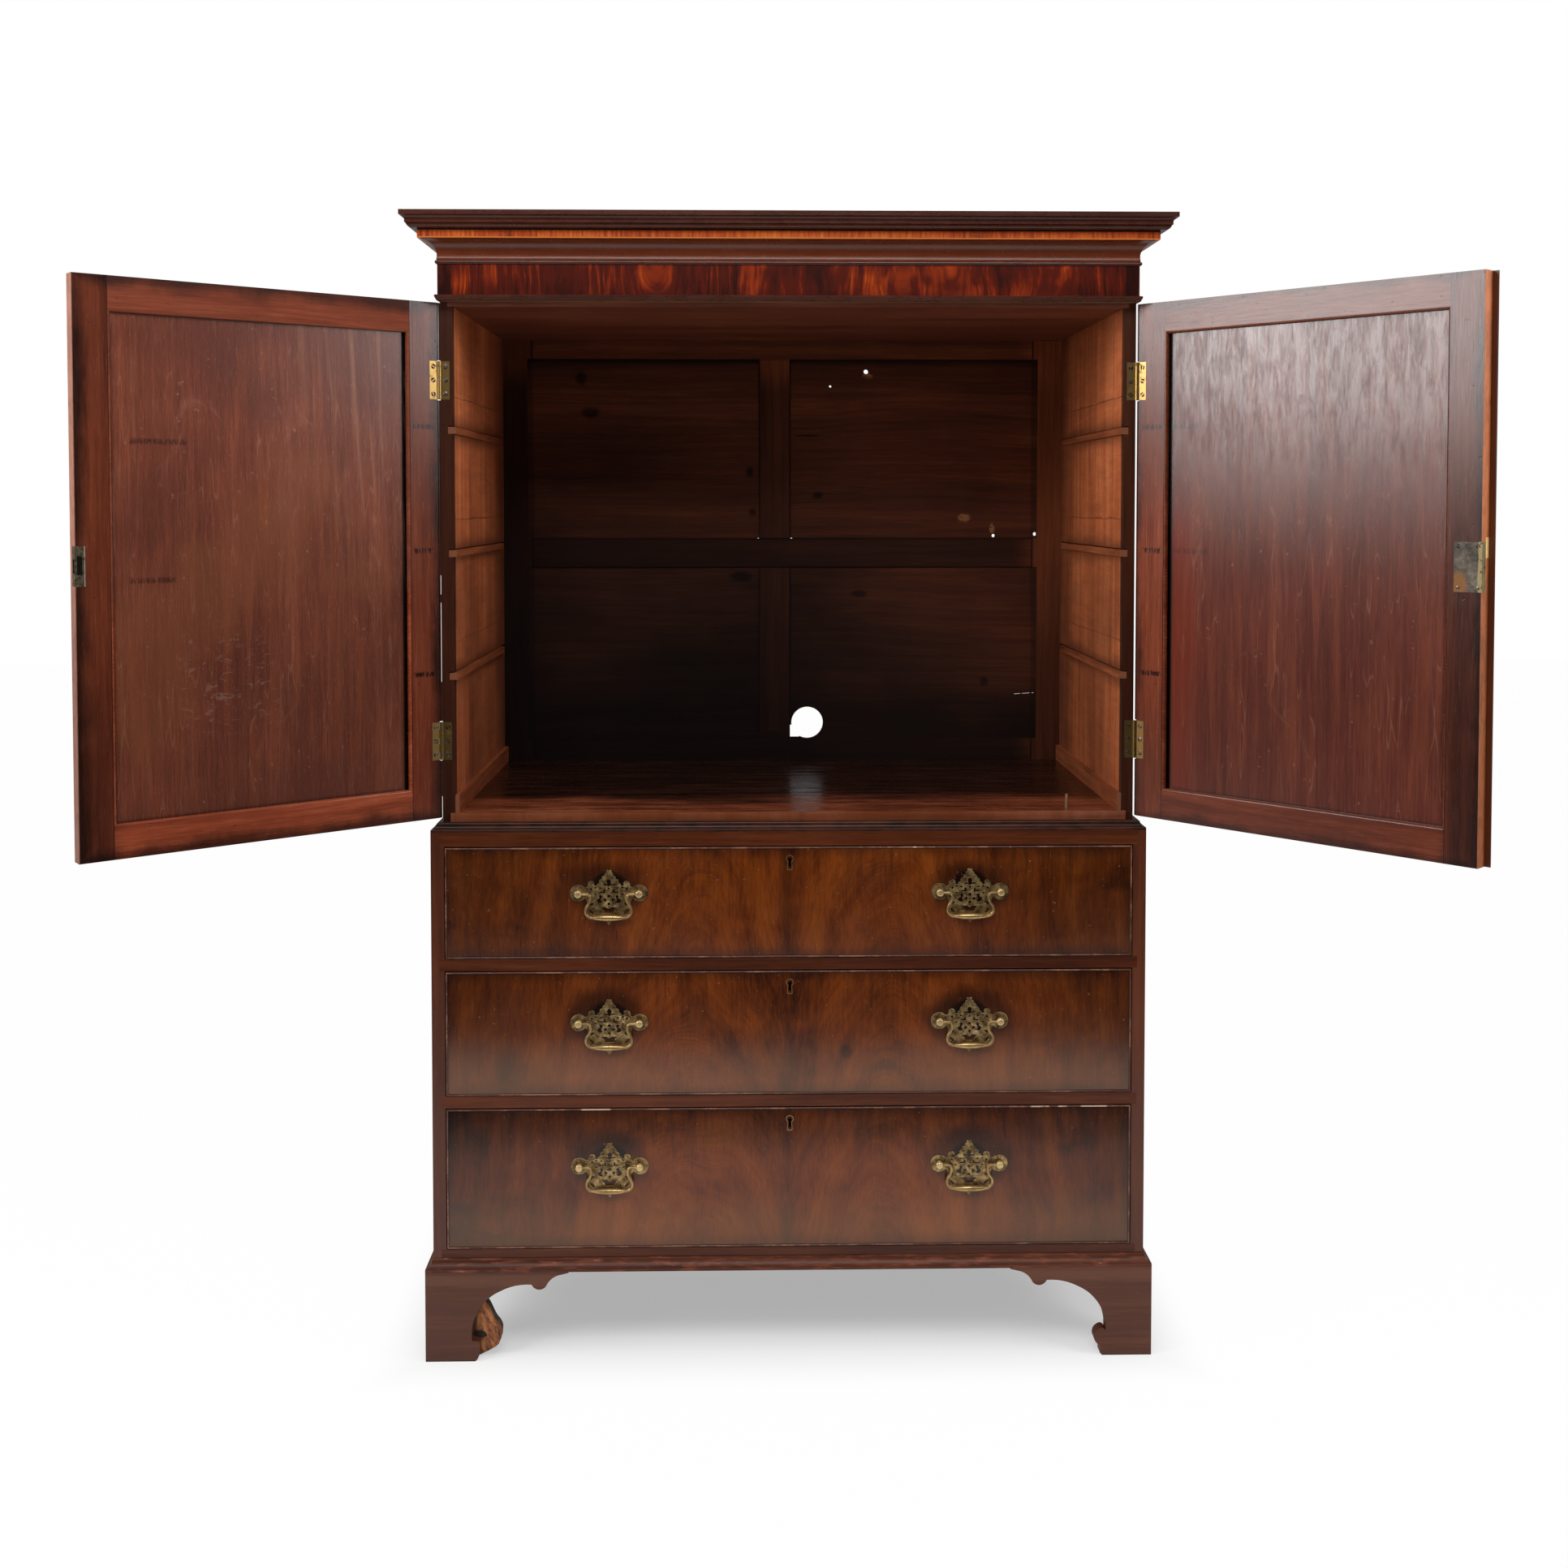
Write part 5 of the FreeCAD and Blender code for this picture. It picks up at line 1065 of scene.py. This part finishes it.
def set_back_plates():
    """The pulls' back plates and posts, with the plates' front rims chamfered by the file."""
    brass = plate_brass()
    for drawer in DRAWERS:
        plates = bpy.data.objects.new(drawer + "_back_plates", nodes[drawer + "_pull_plates"].data.copy())
        bpy.context.scene.collection.objects.link(plates)
        edit(plates)
        bpy.ops.mesh.select_all(action="SELECT")
        bpy.ops.mesh.remove_doubles(threshold=0.000002)
        bpy.ops.mesh.dissolve_limited(angle_limit=math.radians(0.3))
        pick(plates, lambda rim: all(abs(end.co.y - PLATE_FRONT) < 0.00002 for end in rim.verts)
             and len(rim.link_faces) == 2 and rim.calc_face_angle() > 1, True)
        bpy.ops.mesh.bevel(offset=0.0008, segments=1, affect="EDGES", clamp_overlap=True)
        done(plates, 30)
        plates.data.materials.clear()
        plates.data.materials.append(brass)
        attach(plates, drawer)
        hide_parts(drawer + "_pull_plates")


def hinge_strip(name, thick, deep, middle):
    """An upright strip with gaps for the hinges, at its place beside the closed door."""
    bottom, top = DOOR_HEIGHTS
    strip = shape(name, bpy.ops.mesh.primitive_cube_add, size=1, scale=(thick, deep, top - bottom),
                  location=(*middle, (top + bottom) / 2))
    edit(strip)
    for foot in HINGE_FEET:
        for height in (foot - HINGE_GAP, foot + HINGE_LENGTH + HINGE_GAP):
            cut((0, 0, height), (0, 0, 1))
    pick(strip, lambda face: any(foot < face.calc_center_median().z < foot + HINGE_LENGTH
                                 for foot in HINGE_FEET))
    bpy.ops.mesh.delete(type="FACE")
    pick(strip, lambda rim: rim.is_boundary, True)
    bpy.ops.mesh.fill_holes(sides=4)
    bpy.ops.mesh.select_all(action="SELECT")
    bpy.ops.mesh.normals_make_consistent(inside=False)
    pick(strip, lambda rim: abs(rim.verts[0].co.x - rim.verts[1].co.x) < 1e-6
         and abs(rim.verts[0].co.y - rim.verts[1].co.y) < 1e-6
         and abs(rim.verts[0].co.x) > abs(middle[0]), True)
    bpy.ops.mesh.bevel(offset=0.0004, segments=2, affect="EDGES")
    done(strip)
    return strip


def set_hinge_edges():
    """Edgings that bring each door out to its hinge line, and the cupboard's bead behind the left one."""
    for side in ("left", "right"):
        middle = -EDGING_LINE if side == "left" else EDGING_LINE
        edging = hinge_strip(side + "_door_edging", 0.0016, 0.0221, (middle, -0.28865))
        if side == "left":
            edit(edging)
            for depth in (-0.2782, -0.27805):
                cut((0, depth, 0), (0, 1, 0))
            pick(edging, lambda face: face.normal.x < -0.2 and face.calc_center_median().y > -0.27805)
            bpy.ops.transform.translate(value=(-0.0006, 0, 0))
            done(edging)
        edging.data.transform(opened(side))
        edging.data.materials.append(nodes[side + "_door_frame"].material_slots[0].material)
        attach(edging, side + "_door")
    bead = hinge_strip("left_hinge_bead", 0.0022, 0.008, (-0.5831, -0.2727))
    edit(bead)
    for low, high in LIGHT_GAPS:
        for height in (low - 0.002, low, high, high + 0.002):
            cut((0, 0, height), (0, 0, 1))
        pick(bead, lambda face: face.normal.x < -0.2 and low < face.calc_center_median().z < high)
        bpy.ops.transform.translate(value=(0.0007, 0, 0))
    done(bead)
    bead.data.materials.append(straight_wood("hinge_bead", "z", "dark"))
    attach(bead, "press")


# ---------------------------------------------------------------- assembly of the finishes

def coat(material, *names):
    """Gives a finish to every material slot of these solids."""
    for name in names:
        slots = nodes[name].material_slots
        for slot in slots:
            slot.material = material
        if not slots:
            nodes[name].data.materials.append(material)


def finish_carcase():
    """Finishes of everything that doesn't move."""
    coat(straight_wood("chest_sides", "z", "case"), "lower_sides")
    coat(straight_wood("chest_boards", "x", "case", 0.3, 1.35, Specular_IOR_Level=0.3),
         "lower_boards", "drawer_rails")
    coat(cupboard_side_finish(), "upper_sides")
    coat(cupboard_board_finish(), "cupboard_boards")
    coat(frieze_veneer(), "frieze")
    coat(crossband_veneer(), "cornice_band")
    coat(mitred_wood("cornice_mahogany", CUPBOARD_CORNER, "cornice", 0.22, 0.2),
         "cornice_beads", "cornice_crown")
    coat(mitred_wood("cove_mahogany", CUPBOARD_CORNER, "cove", 0.2, 0.12), "cornice_cove")
    coat(mitred_wood("waist_mahogany", CHEST_CORNER, "dark", 0.34, Specular_IOR_Level=0.3),
         "waist_moulding")
    coat(base_moulding_finish(), "base_moulding")
    coat(foot_finish(), "front_feet", "rear_feet")
    coat(back_board_finish(), "back_panels")
    coat(back_frame_finish(), "back_frame")
    coat(softwood_finish(), "lower_back_boards", "dust_boards", "cornice_frame", "foot_blocks")
    coat(tray_runner_finish(), "tray_runners")
    coat(straight_wood("oak", "y", "oak", 0.55), "drawer_runners")


def finish_moving_parts():
    """Finishes of the doors and the drawers."""
    for side in ("left", "right"):
        frame_wood = door_frame_finish(side)
        coat(frame_wood, side + "_door_frame", side + "_door_beads")
        coat(door_panel_finish(side), side + "_door_panel")
    coat(straight_wood("astragal", "z", "case"), "right_door_astragal")
    beads = bead_finish()
    for drawer, (pull_height, rise) in DRAWERS.items():
        coat(drawer_veneer(drawer, pull_height, rise), drawer + "_front")
        coat(beads, drawer + "_cock_bead")
        coat(drawer_box_finish(drawer), drawer + "_box")


def finish_metal():
    """Finishes of the hinges, locks and pulls."""
    coat(plain_metal("hinge_brass", (0.46, 0.29, 0.1), (0.085, 0.048, 0.018), 0.3, 0.34),
         "carcase_hinge_leaves", "hinge_pins", "left_door_hinge_leaves", "right_door_hinge_leaves")
    coat(lock_plate_finish(), "right_door_lock", "right_door_bolt")
    coat(keep_finish(), "left_door_keep")
    bail = bail_brass()
    thread = lock_finish()
    for drawer in DRAWERS:
        coat(thread, drawer + "_lock", drawer + "_bolt")
        coat(bail, drawer + "_left_bail", drawer + "_right_bail")


bpy.context.scene.view_settings.view_transform = "Standard"
set_camera()
light_room()
lay_floor()
finish_carcase()
finish_moving_parts()
finish_metal()
set_screws()
set_peg()
set_broken_spur()
set_hinge_edges()
set_back_plates()
